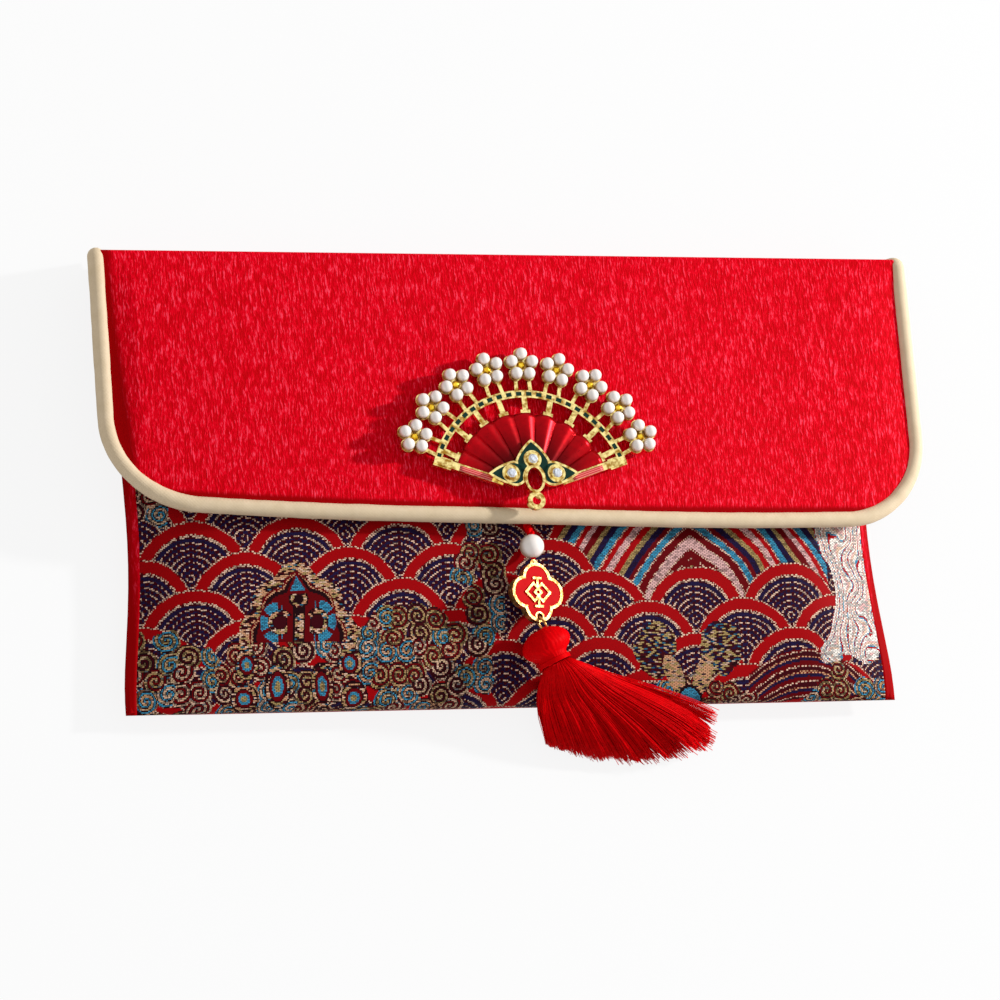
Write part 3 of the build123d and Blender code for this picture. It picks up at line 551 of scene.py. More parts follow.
# %% Wave scales
SCALE_PITCH = 24.6
SCALE_ROW = 7.9
SCALE_RADIUS = 13.0
SCALE_TOP = -20.9
SCALE_MIDDLE = 18.9
SCALE_TILT = 0.03
SCALE_TILT_MIDDLE = 40.0
SCALE_RIM = 3.3
RING_PITCH = 1.45
SOLID_RING_END = 4.6
RING_NAVY, RING_PALE = 0.34, 0.25
DASH_LENGTH, DASH_FILLED = 1.9, 0.64
SCALE_BANDS = (
    (0.0, CREAM, True),
    (0.36, BRIGHT_RED, False),
    (2.94, CREAM, True),
    (SCALE_RIM, NAVY, False),
)


def scale_distance(u, v):
    """Distance from the centre of the front-most wave scale, and that scale's row."""
    level = v - (u - SCALE_TILT_MIDDLE) * SCALE_TILT
    row = math.ceil((level - SCALE_TOP) / SCALE_ROW)

    def to_centre(row_number):
        middle = SCALE_MIDDLE + row_number % 2 * (SCALE_PITCH / 2)
        aside = ((u - middle) / SCALE_PITCH + 0.5) % 1.0 * SCALE_PITCH - SCALE_PITCH / 2
        rise = level - (row_number * SCALE_ROW + (SCALE_TOP - SCALE_RADIUS))
        return (aside**2 + rise**2) ** 0.5

    front, behind = to_centre(row), to_centre(row + 1.0)
    covered = front < SCALE_RADIUS
    return behind + (front - behind) * covered, row + (1 - covered)


def wave_scales(finish, u, v, dots):
    """Colours of the scales, and the row that each point belongs to."""
    away, row = scale_distance(u, v)
    inward = SCALE_RADIUS - away
    dashes = stitches(u, v, DASH_LENGTH, WEFT_ROW * 2, DASH_FILLED)
    ring = (inward - SCALE_RIM) / RING_PITCH % 1.0
    navy = (ring > RING_NAVY) * dashes.most(inward < SOLID_RING_END)
    fill = finish.mix(navy, MAROON, NAVY)
    fill = finish.mix((ring < RING_PALE) * dashes, fill, CREAM)
    rim = bands(finish, inward, SCALE_RADIUS, SCALE_BANDS, dots)
    return finish.mix(inward > SCALE_RIM, rim, fill), row


print("scale pitch and row:", SCALE_PITCH, SCALE_ROW)

# %% [markdown]
# Behind the top row of scales stand striped arches with a peak. Their stripes are level lines of one
# distance. A round distance gives round arches, and a power nearer to 1 gives straight sides and a peak.

# %% Striped arches
ARCH_AXIS, ARCH_FOOT = 43.5, -27.8
ARCH_POWER, ARCH_RISE_SHARE = 1.22, 0.91
ARCH_REACH, ARCH_END = 48.0, 42.4
ARCH_LEFT, ARCH_RIGHT = 6.0, 79.0
FRONT_SCALE_END = 19.6
ARCH_BANDS = (
    (0.0, BRIGHT_RED, False),
    (5.6, GROUND, False),
    (8.0, CREAM, True),
    (8.4, GROUND, False),
    (9.8, CREAM, True),
    (10.2, PINK, False),
    (12.6, CREAM, True),
    (13.0, GROUND, False),
    (15.0, CREAM, True),
    (15.4, TEAL, False),
    (17.2, CREAM, True),
    (17.6, GROUND, False),
    (18.6, NAVY, False),
    (20.4, GOLD_THREAD, False),
    (21.9, BRIGHT_RED, False),
    (23.5, CREAM, True),
    (23.9, PINK, False),
    (25.6, BRIGHT_RED, False),
    (27.0, CREAM, True),
    (27.4, TEAL, False),
    (29.2, NAVY, False),
    (30.8, GOLD_THREAD, False),
    (32.2, GROUND, False),
    (34.0, PINK, False),
    (35.6, BRIGHT_RED, False),
    (36.8, CREAM, True),
    (37.2, TEAL, False),
    (39.0, NAVY, False),
    (40.6, GOLD_THREAD, False),
    (42.0, GROUND, False),
)
KEYSTONE = (3.2, 6.6, 4.4)


def striped_arches(finish, u, v, dots):
    """Colours of the arches, and 1 where they stand."""
    across = abs(u - ARCH_AXIS)
    rise = (v - ARCH_FOOT).most(0.0) * ARCH_RISE_SHARE
    arch = (across**ARCH_POWER + rise**ARCH_POWER) ** (1 / ARCH_POWER)
    colours = bands(finish, arch, ARCH_REACH, ARCH_BANDS, dots)
    low, high, half = KEYSTONE
    colours = finish.mix(band(arch, low, high) * (across < half), colours, GOLD_THREAD)
    return colours, arch < ARCH_END


print("arch stripes:", len(ARCH_BANDS))

# %% [markdown]
# Clouds are crowds of small curls. A Voronoi texture scatters the middles of the curls, and the angle round
# a middle added to the distance from it winds a line into a spiral. Each curl draws its own threads by the
# chance colour that the texture gives to its cell.

# %% Cloud curls
CLOUD_CELL = 4.7
CURL_PITCH = 1.3
CURL_SCATTER, CURL_REACH = 0.85, 0.66
CURL_LINE, CURL_INSIDE = 0.42, (0.56, 0.84)
PALE_LUCK, COOL_LUCK = (0.4, 0.62), (0.45, 0.7)
CLOUD_BANKS = (
    (-91.0, -4.0, 10.0, 6.0),
    (-88.0, -48.0, 17.0, 13.0),
    (-56.0, -49.0, 26.0, 13.0),
    (-26.0, -44.0, 18.0, 14.5),
    (-9.0, -22.0, 6.0, 16.0),
    (41.0, -53.0, 20.0, 5.0),
    (86.0, -51.0, 14.0, 6.5),
)
CLOUD_SPECKLES = (
    (0.0, PEACH),
    (0.26, GOLD_THREAD),
    (0.46, CREAM),
    (0.62, DARK),
    (0.78, MAROON),
    (0.94, TEAL),
)


def cloud_curls(finish, u, v, speckles):
    """Colours of the curls, and 1 where a curl belongs to a bank of clouds."""
    spot = finish.point(u / CLOUD_CELL, v / CLOUD_CELL)
    settings = {"voronoi_dimensions": "2D", "feature": "F1"}
    sockets = {"Vector": spot, "Scale": 1.0, "Randomness": CURL_SCATTER}
    cell = finish.node("ShaderNodeTexVoronoi", settings, sockets)
    outputs = cell.socket.node.outputs
    away = cell * CLOUD_CELL
    middle, chances = Wire(finish, outputs["Position"]), Wire(finish, outputs["Color"])
    middle_u = finish.node("ShaderNodeSeparateXYZ", None, {0: middle}, 0) * CLOUD_CELL
    middle_v = finish.node("ShaderNodeSeparateXYZ", None, {0: middle}, 1) * CLOUD_CELL
    luck = finish.node("ShaderNodeSeparateColor", None, {0: chances}, 0)
    other_luck = finish.node("ShaderNodeSeparateColor", None, {0: chances}, 1)
    hand = (luck > 0.5) * 2 - 1
    turn = (v - middle_v).angle_to(u - middle_u) / (2 * math.pi)
    winding = (away / CURL_PITCH + turn * hand) % 1.0
    pale = finish.mix(other_luck > PALE_LUCK[0], GOLD_THREAD, PEACH)
    pale = finish.mix(other_luck > PALE_LUCK[1], pale, CREAM)
    cool = finish.mix(luck > COOL_LUCK[1], MAROON, TEAL)
    cool = finish.mix(luck > COOL_LUCK[0], GROUND, cool)
    colours = finish.mix(winding > CURL_LINE, finish.mix(0.5, pale, speckles), DARK)
    colours = finish.mix(band(winding, *CURL_INSIDE), colours, cool)
    bank = within(middle_u, middle_v, CLOUD_BANKS) * (away < CLOUD_CELL * CURL_REACH)
    return colours, bank


print("cloud banks:", len(CLOUD_BANKS))

# %% [markdown]
# One large cloud head rises on the left. It is the same on both sides of its axis, so all its shapes are
# written for one side and the distance from the axis is folded over. Two scrolls with teal scallops sit
# under a teal tip, a stem runs down between them, and loops hang below.

# %% Cloud head
HEAD_AXIS, HEAD_FOOT, HEAD_RADIUS_MM, HEAD_LEAN = -55.2, -39.5, 21.2, 7.9
HEAD_LOBES, HEAD_LOBE_DEPTH, HEAD_LINE = 6.95, 1.5, 2.6
HEAD_INSIDE, HEAD_EDGE, HEAD_SPAN = 4.4, 2.2, 16.0
SCROLL_LINE, SCROLL_END, SCROLL_SPAN = (1.7, 2.7), 5.0, 8.0
SCROLL_MOUTH = (2.7, 1.4)
PETALS_ROUND, PETAL_CUT, PETAL_RING, PETAL_INNER = 6.0, -0.75, (2.8, 4.7), 0.6
RING_LINE, RING_END = (1.1, 1.9), 2.3
STEM_HALF, STEM_LINE, STEM_TOP = 1.4, 1.0, 3.4
TIP_EDGE, TIP_EDGE_FOOT = 1.2, 0.7
LOOP_END, LOOP_SPAN = 1.1, 1.2
LOOP_LINE = (0.74, 1.0)
HEAD_SCROLL = (4.4, -33.0)
HEAD_TIP, HEAD_TIP_END, HEAD_TIP_SLOPE = -22.4, -25.9, 1.9
HEAD_RING = (0.0, -27.9)
HEAD_LOOPS = ((5.4, -47.8, 2.7, 5.2), (12.4, -42.4, 2.6, 3.4), (13.4, -50.4, 3.0, 3.4))
HEAD_BANDS = (
    (0.0, GOLD_THREAD, False),
    (0.75, DARK, False),
    (1.1, CREAM, False),
    (1.8, DARK, False),
    (2.2, GROUND, False),
    (2.9, PEACH, True),
    (3.4, DARK, False),
    (4.4, GROUND, False),
)
SCROLL_BANDS = (
    (0.0, MAROON, False),
    (1.5, DARK, False),
    (1.8, CREAM, False),
    (2.6, DARK, False),
    (2.95, GROUND, False),
)
LOOP_BANDS = (
    (0.0, GOLD_THREAD, False),
    (0.24, TEAL, False),
    (0.46, GROUND, False),
    (0.66, DARK, False),
    (0.78, PEACH, False),
    (1.0, DARK, False),
)


def cloud_head(finish, u, v, dots, speckles, cloth):
    """The cloth with the cloud head on it."""
    aside = abs(u - HEAD_AXIS)
    for loop in HEAD_LOOPS:
        ring = ellipse(aside, v, *loop)
        look = bands(finish, ring, LOOP_SPAN, LOOP_BANDS, dots)
        look = finish.mix(band(ring, *LOOP_LINE), look, speckles)
        cloth = finish.mix(ring < LOOP_END, cloth, look)
    around = (v - HEAD_FOOT).angle_to(aside + HEAD_LEAN)
    lobes = abs((around * HEAD_LOBES).sine()) * HEAD_LOBE_DEPTH
    depth = HEAD_RADIUS_MM - ((aside + HEAD_LEAN) ** 2 + (v - HEAD_FOOT) ** 2) ** 0.5 + lobes
    head = bands(finish, depth, HEAD_SPAN, HEAD_BANDS, dots)
    head = finish.mix(depth < HEAD_LINE, head, speckles)
    scroll = distance(aside, v, *HEAD_SCROLL)
    bearing = (v - HEAD_SCROLL[1]).angle_to(aside - HEAD_SCROLL[0])
    petal = (bearing * PETALS_ROUND + math.pi / 2).sine() > PETAL_CUT
    beside_mouth = (aside > SCROLL_MOUTH[0]) + (v > HEAD_SCROLL[1] + SCROLL_MOUTH[1])
    open_side = beside_mouth * (depth > HEAD_EDGE)
    scroll_look = bands(finish, scroll, SCROLL_SPAN, SCROLL_BANDS, dots)
    petal = petal * band(scroll, *PETAL_RING) * (aside > HEAD_SCROLL[0] - PETAL_INNER)
    scroll_look = finish.mix(petal, scroll_look, TEAL)
    scroll_look = finish.mix(band(scroll, *SCROLL_LINE), scroll_look, speckles)
    head = finish.mix((scroll < SCROLL_END) * open_side, head, scroll_look)
    ring = distance(aside, v, *HEAD_RING)
    stem = (aside < STEM_LINE) * (v < HEAD_RING[1] - STEM_TOP) + band(ring, *RING_LINE)
    head = finish.mix((ring < RING_END) + (aside < STEM_HALF) * (v < HEAD_RING[1]), head, DARK)
    head = finish.mix(stem, head, speckles)
    tip = HEAD_TIP - v - aside * HEAD_TIP_SLOPE
    head = finish.mix((tip > -TIP_EDGE) * (v > HEAD_TIP_END - TIP_EDGE_FOOT), head, GROUND)
    head = finish.mix((tip > 0.0) * (v > HEAD_TIP_END), head, TEAL)
    inside = (v > HEAD_SCROLL[1] - HEAD_INSIDE) + (depth < HEAD_LINE)
    return finish.mix((depth > 0.0) * (v > HEAD_FOOT) * inside, cloth, head)


print("cloud head loops:", len(HEAD_LOOPS))

# %% [markdown]
# The lower right of the cloth holds a lotus in speckled threads and striped water, and upright reeds in the
# palest threads stand along the right side. Speckles come from the chance value of each stitch, put through
# a ramp with hard steps, so that every float has one colour from end to end.

# %% Lotus, water and reeds
LOTUS_AXIS = 41.3
LOTUS_WING = (8.2, -40.6, 5.4, 6.4)
LOTUS_PETAL = (3.6, -46.6, 2.3, 5.0)
LOTUS_HEART = (0.0, -54.2, 2.9, 4.4)
HEART_EDGE, PETAL_LEAN = 1.2, 0.3
RAGGED_SCALE, RAGGED_DEPTH = 0.35, 0.5
WATER_MIDDLE = (72.0, -66.0)
WATER_PITCH = 3.4
WATER_INNER, WATER_OUTER, WATER_LEFT = 13.0, 24.5, 57.0
REED_LEFT, REED_FOOT = 78.5, -42.0
REED_PITCH, REED_WANDER = 2.2, 16.0
REED_SWAY, REED_SWING, REED_WHITE = (0.11, 0.09), 14.0, 0.78
WATER_BANDS = (
    (0.0, CREAM, True),
    (0.4, GROUND, False),
    (1.3, NAVY, False),
    (2.0, PEACH, True),
    (2.5, MAROON, False),
)
WING_SPECKLES = (
    (0.0, MAROON),
    (0.26, GOLD_THREAD),
    (0.52, NAVY),
    (0.7, CREAM),
    (0.78, DARK),
    (0.93, TEAL),
)
PETAL_SPECKLES = (
    (0.0, PEACH),
    (0.4, GOLD_THREAD),
    (0.72, CREAM),
    (0.88, NAVY),
)
REED_STRIPES = (
    (0.0, WHITE_THREAD),
    (0.32, PINK),
    (0.46, CREAM),
    (0.6, WHITE_THREAD),
    (0.76, TEAL),
    (0.85, BRIGHT_RED),
)


def water_stripes(finish, u, v, dots, cloth):
    swirl = distance(u, v, *WATER_MIDDLE)
    stripes = bands(finish, swirl % WATER_PITCH, WATER_PITCH, WATER_BANDS, dots)
    return finish.mix(band(swirl, WATER_INNER, WATER_OUTER) * (u > WATER_LEFT), cloth, stripes)


def lotus(finish, u, v, luck, cloth):
    beside = abs(u - LOTUS_AXIS)
    ragged = finish.noise(finish.point(u * RAGGED_SCALE, v * RAGGED_SCALE), 1.0, 1.0) * RAGGED_DEPTH
    wing = ellipse(beside, v, *LOTUS_WING) + ragged - RAGGED_DEPTH / 2
    cloth = finish.mix(wing < 1.0, cloth, finish.ramp(luck, WING_SPECKLES, "CONSTANT"))
    petal = ellipse(beside - (v - LOTUS_PETAL[1]) * PETAL_LEAN, v, *LOTUS_PETAL)
    cloth = finish.mix(petal < 1.0, cloth, finish.ramp(luck, PETAL_SPECKLES, "CONSTANT"))
    heart = ellipse(beside, v, *LOTUS_HEART)
    cloth = finish.mix(heart < HEART_EDGE, cloth, DARK)
    return finish.mix(heart < 1.0, cloth, TEAL)


def pale_reeds(finish, u, v, luck, cloth):
    sway = finish.noise(finish.point(u * REED_SWAY[0], v * REED_SWAY[1]), 1.0, 1.0)
    stripes = finish.ramp((u + sway * REED_SWING) / REED_PITCH % 1.0, REED_STRIPES, "CONSTANT")
    reeds = finish.mix(luck > REED_WHITE, stripes, WHITE_THREAD)
    wander = (sway - 0.5) * REED_WANDER
    return finish.mix((u + wander > REED_LEFT) * (v + wander > REED_FOOT), cloth, reeds)


print("speckles:", len(WING_SPECKLES) + len(PETAL_SPECKLES))

# %% [markdown]
# Now the figures take their places. Scales cover the cloth, striped arches stand behind them on the right,
# clouds lie over them at the bottom and along both sides, and a cloud head with teal curls rises on the
# left. A lotus grows at the lower right. Last, every bright thread is broken into weft rows, as a loom
# makes it. The place on the cloth comes from its flat lay, so the weave runs on round the rolled lower
# edge.

# %% Brocade finish
WOBBLE_SCALE, WOBBLE_ACROSS, WOBBLE_ALONG = 0.06, 2.4, 2.0
DOT_FILLED, FLOAT_FILLED = 0.6, 0.82
BRIGHT_STEP, WEFT_BODY = (0.006, 0.02), (0.12, 0.9)
GRAIN_ACROSS, GRAIN_ALONG = 2.6, 5.0
GAP_SHADE, LUCK_SHADE, GRAIN_SHADE = 0.75, 0.6, 0.4
FLOAT_RISE, GRAIN_RISE = 0.8, 0.3
BROCADE_RELIEF = 0.1


def woven(finish, p, q, luck, cloth):
    """Break the bright threads into floats: the colour, and the height of the weave."""
    green, blue = (finish.node("ShaderNodeSeparateColor", None, {0: cloth}, channel) for channel in (1, 2))
    thread = finish.smooth(green + blue, *BRIGHT_STEP)
    float_ends = stitches(p, q, FLOAT_LENGTH, WEFT_ROW, FLOAT_FILLED)
    weft = float_ends * band(q / WEFT_ROW % 1.0, *WEFT_BODY)
    grain = finish.noise(finish.point(p * GRAIN_ACROSS, q * GRAIN_ALONG), 1.0, 2.0)
    cloth = finish.mix((1 - weft) * thread * GAP_SHADE, cloth, DARK)
    cloth = finish.mix(finish.smooth(luck, 0.45, 1.0) * thread * LUCK_SHADE, cloth, DARK)
    cloth = finish.mix(finish.smooth(grain, 0.45, 0.8) * (1 - thread) * GRAIN_SHADE, cloth, DARK)
    return cloth, weft * thread * FLOAT_RISE + grain * GRAIN_RISE


def brocade_finish():
    finish = Finish("brocade")
    x, y, z = finish.place("UV")
    wobble = finish.noise(finish.point(x, y), WOBBLE_SCALE, 1.0) - 0.5
    p, q = x + wobble * WOBBLE_ACROSS, y + wobble * WOBBLE_ALONG
    u, v = on_loom(p, WARP_STEP), on_loom(q, WEFT_ROW)
    dots = stitches(u, v, FLOAT_LENGTH, WEFT_ROW, DOT_FILLED)
    luck = stitch_luck(finish, p, q, FLOAT_LENGTH, WEFT_ROW)
    cloth, row = wave_scales(finish, u, v, dots)
    front_scale = (row < 1.5) * (u < FRONT_SCALE_END)
    arches, standing = striped_arches(finish, u, v, dots)
    behind = (row > 0.5) * band(u, ARCH_LEFT, ARCH_RIGHT) * (1 - front_scale)
    cloth = finish.mix(behind * standing, cloth, arches)
    cloth = water_stripes(finish, u, v, dots, cloth)
    speckles = finish.ramp(luck, CLOUD_SPECKLES, "CONSTANT")
    curls, bank = cloud_curls(finish, u, v, speckles)
    cloth = finish.mix(bank, cloth, curls)
    cloth = cloud_head(finish, u, v, dots, speckles, cloth)
    cloth = lotus(finish, u, v, luck, cloth)
    cloth = pale_reeds(finish, u, v, luck, cloth)
    cloth, relief = woven(finish, p, q, luck, cloth)
    bump = finish.bump(relief, BROCADE_RELIEF, 0.5)
    finish.feed(Base_Color=cloth, Roughness=0.6 - relief * 0.1, Normal=bump)
    return finish.feed(Specular_IOR_Level=0.04)


brocade = brocade_finish()
print("brocade nodes:", len(brocade.node_tree.nodes))

# %% [markdown]
# The pouch is two crowned panels sewn together at the sides and the lower edge. Each panel has an outer
# cloth, a stiffening layer and a lining. The outer cloth's grid is found by rays against its solid, with
# the lower edge rolled over to the seam, and it gets the slight swells and puckers of sewn cloth. The
# layers inside follow it. The back's cloth comes round the side seams and shows as a narrow red edge.

# %% Pouch panels
PANEL_ROWS, PANEL_COLUMNS = 110, 170
EDGE_ROLL = 3.2
ROLL_ROWS = 8
SIDE_WRAP_COLUMNS = 4
LAYER_TRIM = 14
SIDE_TURN_START, SIDE_TURN_END = 6.0, 3.0
SWELL, SWELL_SIZE = 0.45, 38
PUCKER, PUCKER_SIZE, PUCKER_SEED = 0.35, 5, 9
SEAM_FADE_ACROSS, SEAM_FADE_ALONG, SIDE_CALM, LIFT_FADE = 22, 4, 9, 2
COLUMN_EVENNESS = 0.55
HAIR = 0.06
RAY_ROOM = 20
FRONT_SEED, BACK_SEED = 3.0, 5.0
CLOTH, INTERLINING, LINING, LAYER_GAP = 0.7, 0.6, 0.4, 0.08
WADDING = 1.0

panel_low, panel_high = box_mm("front_panel")
seam_z = panel_low.z
reach = panel_high.x + RAY_ROOM


def panel_grid(node, upward, seed):
    """Points over one side of the pouch, from the lower edge to the mouth."""
    tree = tree_of(node)
    side = 1 if upward else -1
    grid = np.zeros((PANEL_ROWS, PANEL_COLUMNS, 3))
    shares = np.linspace(-1, 1, PANEL_COLUMNS)
    shares = COLUMN_EVENNESS * shares + (1 - COLUMN_EVENNESS) * np.sin(shares * math.pi / 2)
    roll = np.linspace(0, math.pi / 2, ROLL_ROWS)
    straight_rows = PANEL_ROWS - ROLL_ROWS
    straight = np.linspace(panel_low.y + EDGE_ROLL, panel_high.y - HAIR, straight_rows + 1)[1:]
    for index in range(PANEL_ROWS):
        rolled = index < ROLL_ROWS
        y = panel_low.y + EDGE_ROLL if rolled else straight[index - ROLL_ROWS]
        level = seam_z + side * HAIR
        left = meet(tree, (-reach, y, level), (1, 0, 0)).x
        right = meet(tree, (reach, y, level), (-1, 0, 0)).x
        for column, share in enumerate(shares):
            x = (left + right) / 2 + (right - left) / 2 * share
            hit = meet(tree, (x, y, side * reach), (0, 0, -side)) if abs(share) < 1 else None
            lift = (hit.z if hit else seam_z) - seam_z
            spot_y = y
            if rolled:
                lift *= math.sin(roll[index])
                spot_y = panel_low.y + EDGE_ROLL * (1 - math.cos(roll[index]))
            inward = 1 - abs(share)
            edge = min(1.0, inward * SIDE_CALM)
            swell = ripple(x, spot_y, SWELL_SIZE, seed) * SWELL * edge
            near_seam = math.exp(-inward * SEAM_FADE_ACROSS)
            near_seam += math.exp(-(spot_y - panel_low.y) / SEAM_FADE_ALONG)
            pucker = ripple(x / 2, spot_y, PUCKER_SIZE, seed + PUCKER_SEED) * PUCKER
            swell += pucker * min(1.0, near_seam) * edge
            loose = min(1.0, abs(lift) / LIFT_FADE) if upward else 0.0
            grid[index, column] = (x, spot_y, seam_z + lift + swell * loose)
    return grid if upward else grid[:, ::-1]


def cloth_lay(grid):
    """Where each point of a panel lies on the flat cloth: measured round the roll at the lower edge."""
    lay = grid[:, :, :2].copy()
    for row in range(ROLL_ROWS - 1, -1, -1):
        lay[row, :, 1] = lay[row + 1, :, 1] - np.linalg.norm(grid[row + 1] - grid[row], axis=1)
    return lay


def panel_layers(side, outer_grid, inner_grid, outer_material, outer_slot):
    """The three layers of one panel; the inner two follow the inner grid."""
    lay = cloth_lay(outer_grid)
    outer = cloth_piece(f"{side}_cloth", outer_grid, CLOTH, outer_material, outer_slot, lay)
    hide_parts(f"{side}_panel")
    layers = [outer]
    depth = CLOTH + LAYER_GAP
    for word, thickness, material, slot in (
        ("interlining", INTERLINING, stiffening, "interlining"),
        ("lining", LINING, lining, "red_lining"),
    ):
        inner = inset(inner_grid, depth)[LAYER_TRIM:, LAYER_TRIM:-LAYER_TRIM]
        layer = cloth_piece(f"{side}_{word}_sheet", inner, thickness, material, slot)
        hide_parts(f"{side}_{word}")
        depth += thickness + LAYER_GAP
        layers.append(layer)
    for layer in layers:
        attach(layer, "pouch")
    return layers


def back_smooth_shaded_side(finish, x, y):
    """1 near the side seams, where the back's cloth, pulled smooth round to the front, is painted in shade.
    """
    return finish.smooth(abs(x), panel_high.x - SIDE_TURN_START, panel_high.x - SIDE_TURN_END)


# The back's crepe is painted in shade where it turns round the side seams.
back_crepe = crepe_finish("red_back_crepe", *CREPE_LIT_AND_SHADED_REDS, back_smooth_shaded_side)
front_grid = panel_grid("front_panel", True, FRONT_SEED)
back_grid = panel_grid("back_panel", False, BACK_SEED)
wrap = SIDE_WRAP_COLUMNS
right_wrap, left_wrap = front_grid[:, -wrap - 1 : -1], front_grid[:, 1 : wrap + 1]
wrapped_back = np.concatenate([right_wrap, back_grid, left_wrap], axis=1)
panel_layers("front", front_grid[:, wrap:-wrap], front_grid, brocade, "brocade")
panel_layers("back", wrapped_back, back_grid, back_crepe, "red_crepe")
print("front panel cut, in m:", [round(v, 4) for v in grid_lengths(front_grid)])

# %% [markdown]
# The flap, the strip along the top fold and the back are one cloth on the real envelope. Two creases let it
# open. Here the strip is split at mid height: its lower half goes round the crease at the back, and its
# upper half is one piece with the flap and goes round the crease at the flap.

# %% Flap shape
joint_places = {joint["name"]: Vector(joint["pos_m"]) / MM for joint in frame["joints"]}
fold = joint_places["flap_fold"]
back_fold = joint_places["spine_fold"]
piping_low, piping_high = box_mm("flap_piping")
PIPING = 3.8
FLAP_SKEW = 5.8
FLAP_BOW = 2.5
FLAP_CORNER = 20.0
FLAP_SIDE_FALL = 3.5
FLAP_THICKNESS = 2.26
LIP_RISE = 3.5
FLAP_DROP = 67.0
SPINE_THICKNESS = 2.2
FOLD_GAP = 0.35
LIP_FLAT_END, LIP_BEND_END = 0.25, 0.75
CORNER_MIDDLE = 0.45
piping_radius = PIPING / 2
flap_middle_x = fold.x
edge_x = (piping_high.x - piping_low.x) / 2 - piping_radius
lip_y = fold.y + SPINE_THICKNESS / 2 - FLAP_DROP + piping_radius
flap_top_y = fold.y - SPINE_THICKNESS / 2 - FOLD_GAP
half_flap = FLAP_THICKNESS / 2
STRIP_TAPER = 4.6
FOOT_OUT = 0.8


def strip_half(z):
    """Half length of the strip at a height; it is shorter at its foot."""
    return edge_x - STRIP_TAPER * max(0.0, fold.z - z) / (fold.z - piping_radius)


def lip_at(x):
    """Where the flap's lower edge runs, x counted from the flap's middle, corners left square."""
    share = abs(x) / edge_x
    if share < LIP_FLAT_END:
        bow = 0.0
    elif share < LIP_BEND_END:
        bow = 2 * (share - LIP_FLAT_END) ** 2
    else:
        bow = 2 * share - (LIP_FLAT_END + LIP_BEND_END)
    return lip_y + FLAP_BOW * bow - FLAP_SKEW / 2 * x / edge_x


def edge_at(x):
    """Lower edge with its round corners."""
    past = abs(x) - (edge_x - FLAP_CORNER)
    if past <= 0:
        return lip_at(x)
    side = math.copysign(1, x)
    middle_y = lip_at(side * (edge_x - FLAP_CORNER * CORNER_MIDDLE))
    round_y = middle_y + FLAP_CORNER - math.sqrt(max(0.0, FLAP_CORNER**2 - past**2))
    return round_y + (lip_at(x) - middle_y) * (1 - past / FLAP_CORNER)


def flap_level(x, y):
    """Height of the flap's middle surface."""
    share = (flap_top_y - y) / (flap_top_y - (lip_y - piping_radius))
    return fold.z + LIP_RISE * share - FLAP_SIDE_FALL * share * (x / (edge_x + piping_radius)) ** 2


print("flap edge half width:", round(edge_x, 2), "lip:", round(lip_y, 2))

# %% [markdown]
# The flap has three layers: crepe outside, padding, and a lining inside. They could be modelled flat and
# folded with a bend modifier. Here each layer is a grid of rows that climbs the strip, turns over the fold
# and runs down to the lower edge, so the fold lies exactly on its crease. The padding lifts the middle, and
# the cloth dips towards the piping, deepest on the left.

# %% Flap sheets
FLAP_ROWS, FLAP_COLUMNS = 90, 150
SPINE_ROWS, FOLD_ROWS = 5, 7
LEFT_DIP, RIGHT_DIP, SIDE_DIP_WIDTH = 2.3, 0.6, 8.5
LIP_DIP, LIP_DIP_WIDTH, SIDE_DIP_POWER = 0.9, 3.2, 1.3
PUFF, PUFF_WIDTH = 0.3, 9
FLAP_SWELL, FLAP_SWELL_SIZE, FLAP_SEED = 0.22, 30, 21.0
FOLD_FADE, EDGE_FADE = 10, 10
COLUMN_CROWDING = 0.6
PADDING_SIDES, PADDING_LIP = 14, 6
TURN_WIDENS = 3.4
SIDE_TURN, LIP_TURN = (2.2, 4.4), (2.2, 3.4)
STRIP_SPLIT_SHARE = 0.58
strip_middle_z = back_fold.z + (fold.z - back_fold.z) * STRIP_SPLIT_SHARE
even_shares = np.linspace(-1, 1, FLAP_COLUMNS)
crowded_shares = np.sin(even_shares * math.pi / 2)
flap_shares = crowded_shares * COLUMN_CROWDING + even_shares * (1 - COLUMN_CROWDING)


def flap_grid(offset):
    """Points of one layer of the flap, from the middle of the strip over the fold to the lower edge."""
    rows = []
    spine_y = fold.y + offset
    start_z = strip_middle_z if offset > 0 else back_fold.z - offset
    turns = np.linspace(0, math.pi / 2, FOLD_ROWS)
    for z in np.linspace(start_z, fold.z, SPINE_ROWS)[:-1]:
        rows.append([(flap_middle_x + strip_half(z) * share, spine_y, z) for share in flap_shares])
    for turn in turns:
        y, z = fold.y + offset * math.cos(turn), fold.z + offset * math.sin(turn)
        rows.append([(flap_middle_x + edge_x * share, y, z) for share in flap_shares])
    for down in np.linspace(0, 1, FLAP_ROWS)[1:]:
        row = []
        for share in flap_shares:
            x = edge_x * share
            y = fold.y + (edge_at(x) - fold.y) * down
            side_room, lip_room = edge_x - abs(x), max(0.0, y - edge_at(x))
            deepest = RIGHT_DIP if x > 0 else LEFT_DIP
            side_dip = deepest * max(0.0, 1 - side_room / SIDE_DIP_WIDTH) ** SIDE_DIP_POWER
            lip_dip = LIP_DIP * math.exp(-lip_room / LIP_DIP_WIDTH)
            below_fold = min(1.0, (fold.y - y) / FOLD_FADE)
            room = min(side_room, lip_room)
            puff = PUFF * (1 - math.exp(-room / PUFF_WIDTH))
            soft = (puff - max(side_dip, lip_dip)) * below_fold if offset > 0 else 0.0
            swell = ripple(x, y, FLAP_SWELL_SIZE, FLAP_SEED) * FLAP_SWELL
            soft += swell * min(1.0, room / EDGE_FADE) * below_fold
            row.append((flap_middle_x + x, y, flap_level(x, y) + offset + soft))
        rows.append(row)
    grid = np.array(rows)
    return grid[:, ::-1] if offset > 0 else grid


